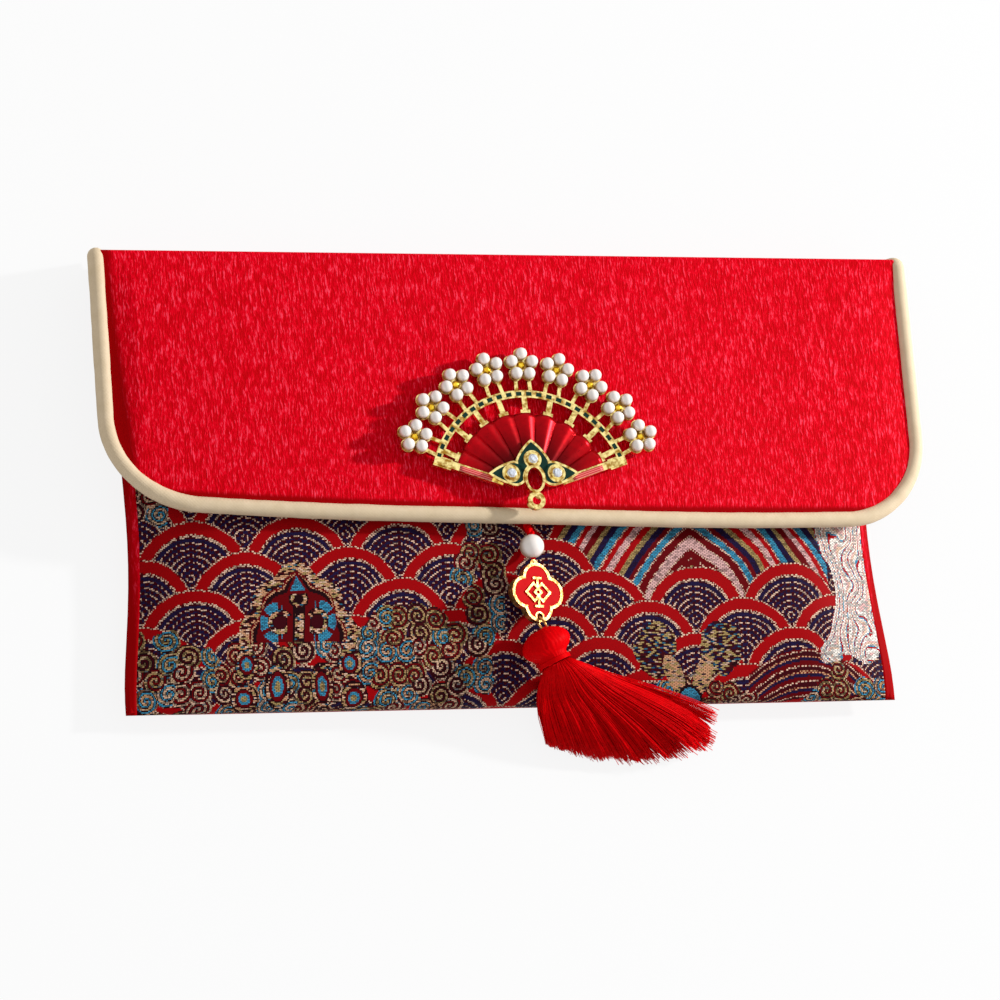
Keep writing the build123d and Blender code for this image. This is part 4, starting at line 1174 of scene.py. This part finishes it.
def flap_smooth_shaded_edge(finish, x, y):
    """1 along the flap's left and lower edge, where cloth pulled smooth to the piping is painted in shade."""
    across = (x - flap_middle_x) / edge_x
    down = finish.smooth(y, fold.y, lip_y)
    side_room = (1 - abs(across)) * edge_x - down * TURN_WIDENS
    lip_room = y - (lip_y - across * (FLAP_SKEW / 2) + across * across * FLAP_BOW)
    # Only the left side gets painted shade: it slopes away from the lamp on the right.
    side = (1 - finish.smooth(side_room, *SIDE_TURN)) * (across < 0.0)
    return side.most(1 - finish.smooth(lip_room, *LIP_TURN))


flap_red = crepe_finish("red_flap_crepe", *CREPE_LIT_AND_SHADED_REDS, flap_smooth_shaded_edge)
outer_flap = flap_grid(half_flap)
inner_flap = flap_grid(-half_flap)
flap_cloth = cloth_piece("flap_crepe", outer_flap, CLOTH, flap_red, "red_crepe")
flap_lining = cloth_piece("flap_lining_sheet", inner_flap, LINING, lining, "red_lining")
padding_grid = inset(outer_flap, CLOTH + LAYER_GAP)
padding_grid = padding_grid[PADDING_SIDES:-PADDING_LIP, PADDING_SIDES:-PADDING_SIDES]
flap_padding = cloth_piece("flap_padding", padding_grid, WADDING, stiffening, "interlining")
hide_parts("flap_cloth", "spine_cloth")
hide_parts("flap_lining", "spine_lining")
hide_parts("flap_wadding")
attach(flap_padding, "flap")
for sheet, grid in ((flap_cloth, outer_flap), (flap_lining, inner_flap)):
    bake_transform(sheet)
print("flap cut, in m:", [round(v, 4) for v in grid_lengths(outer_flap)])

# %% [markdown]
# The lower half of the strip joins the back panel to the flap. It is cut from the same crepe. When the flap
# opens, the strip turns about the crease at the back.


def strip_grid(offset):
    """Lower half of the strip, from the back panel round the crease."""
    rows = []
    low_z, outer_y = back_fold.z - offset, back_fold.y + offset
    for y in np.linspace(panel_high.y, back_fold.y, 3)[:-1]:
        rows.append([(flap_middle_x + strip_half(low_z) * share, y, low_z) for share in flap_shares])
    for turn in np.linspace(-math.pi / 2, 0, FOLD_ROWS):
        y, z = back_fold.y + offset * math.cos(turn), back_fold.z + offset * math.sin(turn)
        rows.append([(flap_middle_x + strip_half(z) * share, y, z) for share in flap_shares])
    for z in np.linspace(back_fold.z, strip_middle_z, SPINE_ROWS)[1:]:
        rows.append([(flap_middle_x + strip_half(z) * share, outer_y, z) for share in flap_shares])
    grid = np.array(rows)
    return grid[:, ::-1] if offset > 0 else grid


strip_outer = strip_grid(SPINE_THICKNESS / 2)
strip_cloth = cloth_piece("strip_crepe", strip_outer, CLOTH, crepe, "red_crepe")
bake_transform(strip_cloth)
print("strip cut, in m:", [round(v, 4) for v in grid_lengths(strip_outer)])

# %% [markdown]
# Piping is a bias-cut strip of satin sewn round a soft cord. It follows the flap's edge and runs on over
# both ends of the fold. A tube along that path is enough, but a perfect tube looks like plastic, so its
# radius wavers a little and the finish has the slanting weave of cloth that was cut on the bias.

# %% Piping
PIPING_SIDES = 16
PIPING_BEND = 1.2
CORE_RADIUS = 1.2
BEND_STEPS, STRIP_STEPS, SIDE_STEPS, LIP_STEPS = 8, 10, 40, 241
PIPING_WAVERS = ((0.05, 7, 2.0), (0.03, 2.5, 8.0))
WEAVE_SLANT, WEAVE_CROSS, SATIN_RELIEF = 7.5, 5.5, 0.08


def satin_finish():
    finish = Finish("champagne_satin")
    x, y, z = finish.place()
    slant = ((x + y + z) * WEAVE_SLANT).sine() * 0.5 + ((x - y) * WEAVE_CROSS).sine() * 0.25
    patch = finish.noise(finish.point(x, y, z), 0.35, 3.0, 0.6)
    base = finish.mix(patch, colour(212, 190, 154), colour(238, 217, 187))
    fine = finish.noise(finish.point(x, y, z), 3.0, 3.0, 0.7)
    base = finish.mix(fine * 0.35, base, colour(190, 163, 126))
    height = slant * 0.3 + fine * 0.5
    relief = finish.bump(height, SATIN_RELIEF, 0.5)
    finish.feed(Base_Color=base, Roughness=0.56 + patch * 0.12, Normal=relief)
    return finish.feed(Specular_IOR_Level=0.25)


def tube(path, radius, sides, closed=False):
    """Points and faces of a tube along a path; the radius is one number or one for each point."""
    path = [Vector(p) for p in path]
    count = len(path)
    radii = [radius] * count if isinstance(radius, (int, float)) else list(radius)
    points, normal = [], None
    for index, spot in enumerate(path):
        before = path[index - 1] if index or closed else spot
        after = path[(index + 1) % count] if index + 1 < count or closed else spot
        way = (after - before).normalized()
        if normal is None:
            normal = way.orthogonal().normalized()
        normal = (normal - way * normal.dot(way)).normalized()
        side = way.cross(normal)
        for step in range(sides):
            turn = 2 * math.pi * step / sides
            points.append(spot + (normal * math.cos(turn) + side * math.sin(turn)) * radii[index])
    faces = grid_faces(count, sides, True)
    if closed:
        last = (count - 1) * sides
        faces += [(last + s, last + (s + 1) % sides, (s + 1) % sides, s) for s in range(sides)]
    else:
        faces.append(tuple(range(sides))[::-1])
        faces.append(tuple((count - 1) * sides + s for s in range(sides)))
    return points, faces


def piping_path():
    """The flap's edge, with both ends taken over the fold and down the strip."""
    foot = piping_radius
    bend = PIPING_BEND
    turns = np.linspace(0, math.pi / 2, BEND_STEPS)[1:]
    over = [(fold.y - bend * (1 - math.cos(t)), fold.z - bend * (1 - math.sin(t))) for t in turns]
    heights = np.linspace(foot, fold.z - bend, STRIP_STEPS)
    right = [(strip_half(z), fold.y + FOOT_OUT * (fold.z - z) / (fold.z - foot), z) for z in heights]
    right += [(strip_half(z), y, z) for y, z in over]
    down_right = np.linspace(fold.y - bend, edge_at(edge_x), SIDE_STEPS)[1:]
    up_left = np.linspace(edge_at(-edge_x), fold.y - bend, SIDE_STEPS)[:-1]
    right += [(edge_x, y, flap_level(edge_x, y)) for y in down_right]
    turns = np.linspace(math.pi / 2, -math.pi / 2, LIP_STEPS)[1:-1]
    across = []
    for turn in turns:
        x = edge_x * math.sin(turn)
        across.append((x, edge_at(x), flap_level(x, edge_at(x))))
    left = [(-edge_x, y, flap_level(edge_x, y)) for y in up_left]
    left += [(-x, y, z) for x, y, z in right[: len(heights) + len(over)][::-1]]
    return [(x + flap_middle_x, y, z) for x, y, z in right + across + left]


def wavering_radius(x, y):
    """Radius of the piping at a place, with a slow and a short waver."""
    return piping_radius * (1 + sum(depth * ripple(x, y, size, seed) for depth, size, seed in PIPING_WAVERS))


satin = satin_finish()
path = piping_path()
wavering = [wavering_radius(x, y) for x, y, z in path]
piping = new_piece("piping_tube", *tube(path, wavering, PIPING_SIDES), satin, "champagne_satin")
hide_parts("flap_piping", "spine_piping")
core = new_piece("piping_core", *tube(path, CORE_RADIUS, PIPING_SIDES), cotton, "cotton_cord")
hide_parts("piping_cord")
for piece in (piping, core):
    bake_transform(piece)
print("piping points:", len(path))

# %% [markdown]
# The brooch is a gilt casting with glued pearls, a red pleated leaf, green enamel and three clear stones.
# Its solids have the right shapes, so they stay and only get their finishes. The leaf is replaced, because
# its pleats are round flutes that run to the fan's foot. The metals are mottled with painted reflection, and
# the stones' facets carry painted reflection too. A pearl gets painted shade round its rim: its colour
# darkens where its surface faces sideways.

# %% Hard finishes
PEARL_RIM_SHADE = (0.0, 0.62)
CAST_SCALE, REFLECTION_STEP, CAST_RELIEF = 0.9, (0.3, 0.66), 0.12
POOL_RELIEF = 0.04
FACET_SCALE, FACET_RELIEF = 1.4, 0.25


def metal_finish(name, deep, bright, roughness):
    finish = Finish(name)
    x, y, z = finish.place()
    cast_and_reflection = finish.noise(finish.point(x, y, z), CAST_SCALE, 2.0, 0.5)
    # Painted reflection: the deep and bright colours stand in for the metal's reflections, mottled by the
    # noise that also gives the cast texture.
    base = finish.mix(finish.smooth(cast_and_reflection, *REFLECTION_STEP), deep, bright)
    finish.feed(Base_Color=base, Metallic=1.0, Roughness=roughness + cast_and_reflection * 0.12)
    return finish.feed(Normal=finish.bump(cast_and_reflection, CAST_RELIEF, 0.7))


def enamel_finish(name, deep, bright, shine):
    finish = Finish(name)
    x, y, z = finish.place()
    pool = finish.noise(finish.point(x, y, z), 0.5, 2.0)
    finish.feed(Base_Color=finish.mix(pool, deep, bright), Roughness=0.26 + pool * 0.08)
    return finish.feed(Normal=finish.bump(pool, POOL_RELIEF, 0.3), Specular_IOR_Level=shine)


def pearl_finish():
    finish = Finish("pearl")
    x, y, z = finish.place()
    cloud = finish.noise(finish.point(x, y, z), 0.55, 2.0)
    base = finish.mix(cloud, colour(244, 232, 224), colour(254, 249, 244))
    facing = finish.node("ShaderNodeTexCoord", output="Normal")
    upward = finish.node("ShaderNodeSeparateXYZ", None, {0: facing}, 2)
    # Painted shade: darker where the surface faces sideways, lighter where it faces up.
    base = finish.mix(finish.smooth(upward, *PEARL_RIM_SHADE), colour(196, 168, 146), base)
    finish.feed(Base_Color=base, Roughness=0.2 + cloud * 0.06, Coat_Weight=0.25)
    return finish.feed(Normal=finish.bump(cloud, 0.02, 0.2))


def stone_finish():
    finish = Finish("clear_stone")
    x, y, z = finish.place()
    sockets = {"Vector": finish.point(x, y, z), "Scale": FACET_SCALE}
    facet_and_reflection = finish.node("ShaderNodeTexVoronoi", {"feature": "F1"}, sockets)
    # Painted reflection: each facet is lighter at its middle and greyer towards its edges.
    base = finish.mix(facet_and_reflection, colour(236, 240, 248), colour(198, 206, 222))
    finish.feed(Base_Color=base, Roughness=0.05 + facet_and_reflection * 0.05, IOR=1.9, Metallic=0.25)
    return finish.feed(Normal=finish.bump(facet_and_reflection, FACET_RELIEF, 1.0))


gilt = metal_finish("gilt", colour(166, 120, 40), colour(255, 236, 158), 0.18)
charm_gilt = metal_finish("charm_gilt", colour(150, 100, 48), colour(226, 176, 112), 0.24)
stamen_gilt = metal_finish("stamen_gilt", colour(222, 168, 28), colour(255, 222, 70), 0.3)
steel = metal_finish("steel", colour(150, 152, 156), colour(186, 188, 192), 0.32)
red_enamel = enamel_finish("red_enamel", colour(186, 0, 3), colour(216, 0, 6), 0.03)
green_enamel = enamel_finish("green_enamel", colour(4, 26, 22), colour(8, 58, 46), 0.14)
pearl = pearl_finish()
stone = stone_finish()
worn = {
    gilt: ("fan_frame", "pin_bar"),
    charm_gilt: ("charm_case", "charm_motif", "tassel_ring"),
    stamen_gilt: ("flower_buttons",),
    steel: ("snap_socket", "snap_stud", "pin_stem", "pin_rivet"),
    red_enamel: ("charm_enamel",),
    green_enamel: ("petal_enamel",),
    pearl: ("pearl_bead", *(f"flower_{number}_pearls" for number in range(1, 10))),
    stone: ("fan_stones",),
}
for material, names in worn.items():
    for name in names:
        for slot in frame["nodes"][name].material_slots:
            slot.material = material
print("solids with a new finish:", sum(len(names) for names in worn.values()))

# %% [markdown]
# The fan's leaf is red lacquered foil, pressed into flutes between the ribs. A bump on a flat plate would
# throw no shadows, so the flutes are real: the height falls from each rib to a valley, and more so towards
# the outer edge.

# %% Fan leaf
LEAF_OUTER, LEAF_INNER = 19.4, 5.4
LEAF_PLEAT, LEAF_RISE, LEAF_SHEET = 1.3, 3.25, 0.35
LEAF_ROWS, LEAF_COLUMNS = 15, 181
HALF_FLUTE, FLUTE_POWER = 8.1, 1.7
FOIL_FADE = (8.0, 19.0)
RIB_ANGLES = (-64.5, -48.5, -32.5, -16.2, 0.0, 16.2, 32.5, 48.5, 64.5)
GUARD_ANGLE = 69.5
FAN_PIVOT_ABOVE_LIP = 6.7
FAN_ASIDE = -0.9
flap_slope = LIP_RISE / (flap_top_y - (lip_y - piping_radius))
pivot_y = lip_y - piping_radius + FAN_PIVOT_ABOVE_LIP
pivot_z = flap_level(0, pivot_y) + half_flap


def on_brooch(x, y, z):
    """A place on the brooch, from its pivot, as a place on the envelope."""
    tilt = math.atan(flap_slope)
    upright = (-y * math.sin(tilt) + z * math.cos(tilt), y * math.cos(tilt) + z * math.sin(tilt))
    return (flap_middle_x + FAN_ASIDE + x, pivot_y + upright[1], pivot_z + upright[0])


def foil_finish():
    """Thin red lacquer over bright foil."""
    finish = Finish("red_foil")
    x, y, z = finish.place()
    streak = finish.noise(finish.point(x, y, z), 0.8, 3.0, 0.6)
    from_pivot = distance(x, y, flap_middle_x + FAN_ASIDE, pivot_y)
    base = finish.mix(streak, colour(138, 0, 8), colour(200, 0, 16))
    base = finish.mix(finish.smooth(from_pivot, *FOIL_FADE), colour(84, 0, 4), base)
    finish.feed(Base_Color=base, Metallic=0.6, Roughness=0.24 + streak * 0.1)
    return finish.feed(Specular_IOR_Level=0.12)


def leaf_points():
    angles = np.linspace(-GUARD_ANGLE, GUARD_ANGLE, LEAF_COLUMNS)
    radii = np.linspace(LEAF_INNER, LEAF_OUTER, LEAF_ROWS)
    rows = []
    for radius in radii:
        row = []
        for angle in angles:
            nearest = min(abs(angle - rib) for rib in RIB_ANGLES)
            flute = min(1.0, nearest / HALF_FLUTE) ** FLUTE_POWER
            height = LEAF_RISE - LEAF_PLEAT * flute * radius / LEAF_OUTER
            x, y = radius * math.sin(math.radians(angle)), radius * math.cos(math.radians(angle))
            row.append(on_brooch(x, y, height))
        rows.append(row)
    return np.array(rows)[:, ::-1]


leaf = cloth_piece("fan_pleats", leaf_points(), LEAF_SHEET, foil_finish(), "red_enamel")
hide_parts("fan_leaf")
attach(leaf, "flap")
print("leaf faces:", len(leaf.data.polygons))

# %% [markdown]
# The two outer sticks of the fan, its guards, carry a strip of pink enamel with fine lines along it. They
# are too thin to need a solid, so each is a small plate laid on the guard. Rays find the top of the casting
# below it.

# %% Guard strips
GUARD_LINE = 71.5
GUARD_REACH = (10.6, 18.8)
GUARD_WIDTH, GUARD_PLATE, GUARD_LIFT = 1.3, 0.3, 0.14
GUARD_LINE_PITCH = 0.45
GUARD_ROWS, GUARD_COLUMNS = 9, 4
guard_turn = math.radians(GUARD_LINE)
frame_tree = tree_of("fan_frame")


def guard_finish():
    finish = Finish("guard_enamel")
    x, y, z = finish.place()
    aside = abs(x - (flap_middle_x + FAN_ASIDE))
    across = aside * math.cos(guard_turn) - (y - pivot_y) * math.sin(guard_turn)
    line = finish.smooth((across * (2 * math.pi / GUARD_LINE_PITCH)).sine(), -0.2, 0.6)
    base = finish.mix(line, colour(200, 44, 50), colour(238, 132, 126))
    return finish.feed(Base_Color=base, Roughness=0.3 + line * 0.1, Specular_IOR_Level=0.14)


def guard_grid(side):
    """Points of one plate along a guard; side is 1 for the right and -1 for the left."""
    rows = []
    for along in np.linspace(*GUARD_REACH, GUARD_ROWS):
        middle = on_brooch(side * along * math.sin(guard_turn), along * math.cos(guard_turn), 0)
        top = meet(frame_tree, (middle[0], middle[1], reach), (0, 0, -1)).z + GUARD_LIFT
        row = []
        for aside in np.linspace(-GUARD_WIDTH / 2, GUARD_WIDTH / 2, GUARD_COLUMNS):
            x = middle[0] + side * aside * math.cos(guard_turn)
            row.append((x, middle[1] - aside * math.sin(guard_turn), top))
        rows.append(row if side > 0 else row[::-1])
    return np.array(rows)


guard_enamel = guard_finish()
for word, side in (("left", -1), ("right", 1)):
    plate = cloth_piece(f"guard_strip_{word}", guard_grid(side), GUARD_PLATE, guard_enamel, "red_enamel")
    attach(plate, "flap")
print("guard strips, length in mm:", round(GUARD_REACH[1] - GUARD_REACH[0], 1))

# %% [markdown]
# The pendant hangs from a twisted silk cord that comes out under the piping and goes through the pearl. The
# cord is two plies wound round each other. It bends where it leaves the flap.

# %% Pendant cord
CORD = 1.9
CORD_PLIES = 2
CORD_LAY = 3.2
CORD_STEPS = 12
PLY_SHARE = 0.54
bend = joint_places["bead_lift"]
bead_low, bead_high = box_mm("pearl_bead")
bead_middle = (bead_low + bead_high) / 2
bead_radius = (bead_high.x - bead_low.x) / 2


def silk_finish():
    finish = Finish("red_silk")
    x, y, z = finish.place()
    strand = finish.noise(finish.point(x, y, z), 0.7, 3.0, 0.6)
    fine = finish.noise(finish.point(x, y, z), 4.0, 2.0)
    base = finish.mix(strand, colour(186, 0, 4), colour(240, 0, 8))
    finish.feed(Base_Color=base, Roughness=0.42 + fine * 0.14, Normal=finish.bump(fine, 0.05, 0.5))
    return finish.feed(Specular_IOR_Level=0.02)


def twisted(path, radius, plies, lay, sides=8):
    """Plies wound round a path."""
    path = [Vector(p) for p in path]
    points, faces = [], []
    ply_radius = radius * PLY_SHARE
    for ply in range(plies):
        travelled, normal, line = 0.0, Vector((1, 0, 0)), []
        for index, spot in enumerate(path):
            before, after = path[max(index - 1, 0)], path[min(index + 1, len(path) - 1)]
            travelled += (spot - before).length
            way = (after - before).normalized()
            normal = (normal - way * normal.dot(way)).normalized()
            turn = 2 * math.pi * (travelled / lay + ply / plies)
            aside = normal * math.cos(turn) + way.cross(normal) * math.sin(turn)
            line.append(spot + aside * (radius - ply_radius))
        more, ply_faces = tube(line, ply_radius, sides)
        faces += [tuple(i + len(points) for i in face) for face in ply_faces]
        points += more
    return points, faces


def between(points, steps):
    """A smooth line through a few points, as a Catmull-Rom curve."""
    points = [Vector(p) for p in points]
    ends = [points[0] * 2 - points[1], *points, points[-1] * 2 - points[-2]]
    line = []
    for a, b, c, d in zip(ends, ends[1:], ends[2:], ends[3:]):
        for step in range(steps):
            t = step / steps
            curve = 2 * b + (c - a) * t
            curve += (2 * a - 5 * b + 4 * c - d) * t**2
            curve += (3 * b - a - 3 * c + d) * t**3
            line.append(curve / 2)
    return [*line, points[-1]]


silk = silk_finish()
cord_points = [
    (bend.x, bend.y + 5.0, bend.z + 0.3),
    (bend.x, bend.y + 2.0, bend.z),
    (bend.x, bend.y - 0.3, bend.z + 0.1),
    (bend.x, (bend.y + bead_middle.y + bead_radius) / 2 - 0.2, (bend.z + bead_middle.z) / 2 + 0.2),
    (bend.x, bead_middle.y + bead_radius, bead_middle.z),
    (bend.x, bead_middle.y - bead_radius, bead_middle.z),
]
plies = twisted(between(cord_points, CORD_STEPS), CORD / 2, CORD_PLIES, CORD_LAY)
cord = new_piece("cord_twist", *plies, silk, "red_silk")
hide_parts("pendant_cord", "cord_tack")
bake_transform(cord)
print("cord points:", len(cord.data.vertices))

# %% [markdown]
# The tassel is a bundle of silk yarn folded over a loop, bound below a round head and left to spread. Its
# head shows yarns that run down to the binding. A plain ball would look like wood, so the head is a swollen
# tube with a groove for each yarn, pressed flat where it lies on the pouch. The binding is one thread wound
# round the neck.

# %% Tassel head and binding
link = joint_places["tassel_lift"]
TASSEL_LEAN, TASSEL_ASIDE = 24.0, 1.6
HEAD_START, HEAD_LENGTH = 0.0, 7.4
HEAD_ASIDE, HEAD_UP, HEAD_CROWN = 6.2, 5.0, 0.9
NECK_RADIUS, BINDING_LENGTH, BINDING_THREAD = 3.7, 1.4, 0.36
BINDING_TURNS, TURN_STEPS = 4, 40
LOOP_RADIUS, LOOP_WIRE = 1.1, 0.3
HEAD_ROWS, HEAD_SIDES, HEAD_GROOVES = 40, 120, 17
ON_POUCH = 0.6
SWELL_POWER, GROOVE_DEPTH, GROOVE_WANDER, LUMP_DEPTH = 0.55, 0.028, 2.2, 0.03
BINDING_PROUD, THREAD_SIDES = 0.15, 8
HEAD_TUCK = 0.4
lean = math.radians(TASSEL_LEAN)
tassel_way = Vector((math.sin(lean), -math.cos(lean), 0))
tassel_across = Vector((tassel_way.y, -tassel_way.x, 0))
front_tree = tree_of("front_panel")


def on_tassel(distance_down, aside, height):
    """A place by the tassel's own line, counted from the ring."""
    return link + tassel_way * distance_down + tassel_across * aside + Vector((0, 0, height))


def pouch_under(spot):
    """Height of the pouch's front below a place, or None beside the pouch."""
    hit = meet(front_tree, (spot.x, spot.y, reach), (0, 0, -1))
    return hit.z if hit else None


def head_point(share, turn):
    """One point of the head, with the grooves of its yarns, pressed flat where it lies on the pouch."""
    swell = math.sin(math.pi * min(1.0, share * 1.02 + 0.02)) ** SWELL_POWER
    neck = NECK_RADIUS * (0.97 + 0.03 * share) if share > 0.5 else 0.0
    aside, up = (max(neck, HEAD_CROWN + (most - HEAD_CROWN) * swell) for most in (HEAD_ASIDE, HEAD_UP))
    wander = GROOVE_WANDER * ripple(turn * 3, share * 4, 1.0, 4.0)
    groove = GROOVE_DEPTH * abs(math.sin(turn * HEAD_GROOVES + wander))
    lumps = LUMP_DEPTH * ripple(math.cos(turn) * 2, math.sin(turn) * 2 + share, 1.0, 6.0)
    even = 1 - groove + lumps
    down = HEAD_START + share * (HEAD_LENGTH + HEAD_TUCK)
    spot = on_tassel(down, TASSEL_ASIDE + aside * even * math.cos(turn), up * even * math.sin(turn))
    under = pouch_under(spot)
    if under is not None:
        spot.z = max(spot.z, under + ON_POUCH)
    return spot


head_turns = np.linspace(0, 2 * math.pi, HEAD_SIDES, endpoint=False)
head_flat = [head_point(share, turn) for share in np.linspace(0, 1, HEAD_ROWS) for turn in head_turns]
head_faces = grid_faces(HEAD_ROWS, HEAD_SIDES, True)
head_faces.append(tuple(range(HEAD_SIDES)))
head_faces.append(tuple(len(head_flat) - 1 - i for i in range(HEAD_SIDES)))
head = new_piece("tassel_head_yarn", head_flat, head_faces, silk, "red_silk")
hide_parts("tassel_head")
coil = []
for step in range(BINDING_TURNS * TURN_STEPS + 1):
    turn = 2 * math.pi * step / TURN_STEPS
    wound = step / (BINDING_TURNS * TURN_STEPS)
    down = HEAD_START + HEAD_LENGTH + BINDING_THREAD / 2 + (BINDING_LENGTH - BINDING_THREAD) * wound
    out = NECK_RADIUS + BINDING_PROUD
    coil.append(on_tassel(down, TASSEL_ASIDE + out * math.cos(turn), out * math.sin(turn)))
binding = new_piece("tassel_binding_thread", *tube(coil, BINDING_THREAD / 2, THREAD_SIDES), silk, "red_silk")
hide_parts("tassel_binding")
ring_turns = np.linspace(0, 2 * math.pi, TURN_STEPS, endpoint=False)
loop_line = [on_tassel(LOOP_RADIUS * (1 - math.cos(t)), LOOP_RADIUS * math.sin(t), 0) for t in ring_turns]
loop_tube = tube(loop_line, LOOP_WIRE, THREAD_SIDES, closed=True)
loop = new_piece("tassel_loop_cord", *loop_tube, silk, "red_silk")
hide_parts("tassel_loop")
for piece in (head, binding, loop):
    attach(piece, "tassel")
print("tassel head points:", len(head_flat))

# %% [markdown]
# The skirt is a fan of loose strands. Each strand leaves the neck, swings to its own heading and lies
# between the top and the underside of the skirt's solid, so the bundle stays on the pouch and drops over
# its edge. Hair particles would also do, but a thin tube for each strand is a plain mesh, and it can go
# into any other program.

# %% Tassel strands
STRANDS = 2600
STRAND_RADIUS = 0.12
STRAND_STEPS = 11
STRAND_SIDES = 4
HEADINGS = (5.0, 14.0, 26.0, 37.0, 47.0, 57.0, 67.0, 75.0)
REACHES = (16.5, 18.0, 21.0, 25.0, 30.0, 37.0, 45.5, 45.5)
HANG_LAG = 5.0
BUNDLE = 4.0
RIGHT_CROWDING = 0.9
STRAND_LOW, STRAND_DROP, STRAND_TAPER = 1.0, 1.2, 0.35
HEADING_SCATTER, LENGTH_SCATTER = 1.2, 0.05
CLUMPS, CLUMP_SWING, CLUMP_LENGTH = 11, 2, 0.07
NECK_FILLED, NECK_SPREAD, SETTLE_SPEED = 0.85, 0.9, 4
STRAND_SEED = 11
chance = random.Random(STRAND_SEED)
skirt_tree = tree_of("tassel_skirt")
neck = on_tassel(HEAD_START + HEAD_LENGTH + BINDING_LENGTH, TASSEL_ASIDE, 0)
ranks = np.linspace(0, 1, len(HEADINGS))


def resting_height(spot, layer, last):
    """Height of a strand inside the skirt's solid, else on the pouch, else falling to the table."""
    top = meet(skirt_tree, (spot.x, spot.y, reach), (0, 0, -1))
    under = meet(skirt_tree, (spot.x, spot.y, -reach), (0, 0, 1))
    if top and under:
        return under.z + STRAND_RADIUS + (top.z - under.z - 2 * STRAND_RADIUS) * layer
    cloth = pouch_under(spot)
    if cloth is not None:
        return cloth + ON_POUCH + layer * BUNDLE
    return max(STRAND_LOW, last - STRAND_DROP)


def way_of(heading):
    return Vector((math.sin(math.radians(heading)), -math.cos(math.radians(heading)), 0))


def strand_line(share, layer):
    """One strand from the neck to the hem; share runs from left to right, layer from below to above."""
    clump = ripple(share * CLUMPS, 0.0, 1.0, 5.0)
    heading = np.interp(share, ranks, HEADINGS) + chance.gauss(0, HEADING_SCATTER) + clump * CLUMP_SWING
    evenness = 1 - abs(chance.gauss(0, LENGTH_SCATTER)) + clump * CLUMP_LENGTH
    length = np.interp(share, ranks, REACHES) * evenness
    rank = 2 * share - 1
    round_room = math.sqrt(max(0.0, 1 - rank**2)) * NECK_RADIUS * NECK_FILLED
    start = neck - tassel_across * rank * NECK_RADIUS * NECK_SPREAD
    start += Vector((0, 0, (layer * 2 - 1) * round_room))
    bend_point = start + way_of(heading - HANG_LAG * (1 - share)) * length * 0.5
    end = neck + way_of(heading) * length
    line, height = [], start.z
    for t in np.linspace(0, 1, STRAND_STEPS):
        spot = start * (1 - t) ** 2 + bend_point * 2 * t * (1 - t) + end * t**2
        lie = resting_height(spot, layer, height)
        height = start.z + (lie - start.z) * min(1.0, t * SETTLE_SPEED)
        line.append(Vector((spot.x, spot.y, height)))
    heights = [point.z for point in line]
    for index in range(1, STRAND_STEPS - 1):
        line[index].z = sum(heights[index - 1 : index + 2]) / 3
    return line


strand_points, strand_faces = [], []
strand_radii = [STRAND_RADIUS * (1 - STRAND_TAPER * t) for t in np.linspace(0, 1, STRAND_STEPS)]
for number in range(STRANDS):
    line = strand_line(((number + 0.5) / STRANDS) ** RIGHT_CROWDING, chance.random())
    more, faces = tube(line, strand_radii, STRAND_SIDES)
    strand_faces += [tuple(i + len(strand_points) for i in face) for face in faces]
    strand_points += more
strands = new_piece("tassel_strands", strand_points, strand_faces, silk, "red_silk")
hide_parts("tassel_skirt")
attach(strands, "tassel")
print("strands:", STRANDS, "faces:", len(strand_faces))

# %% [markdown]
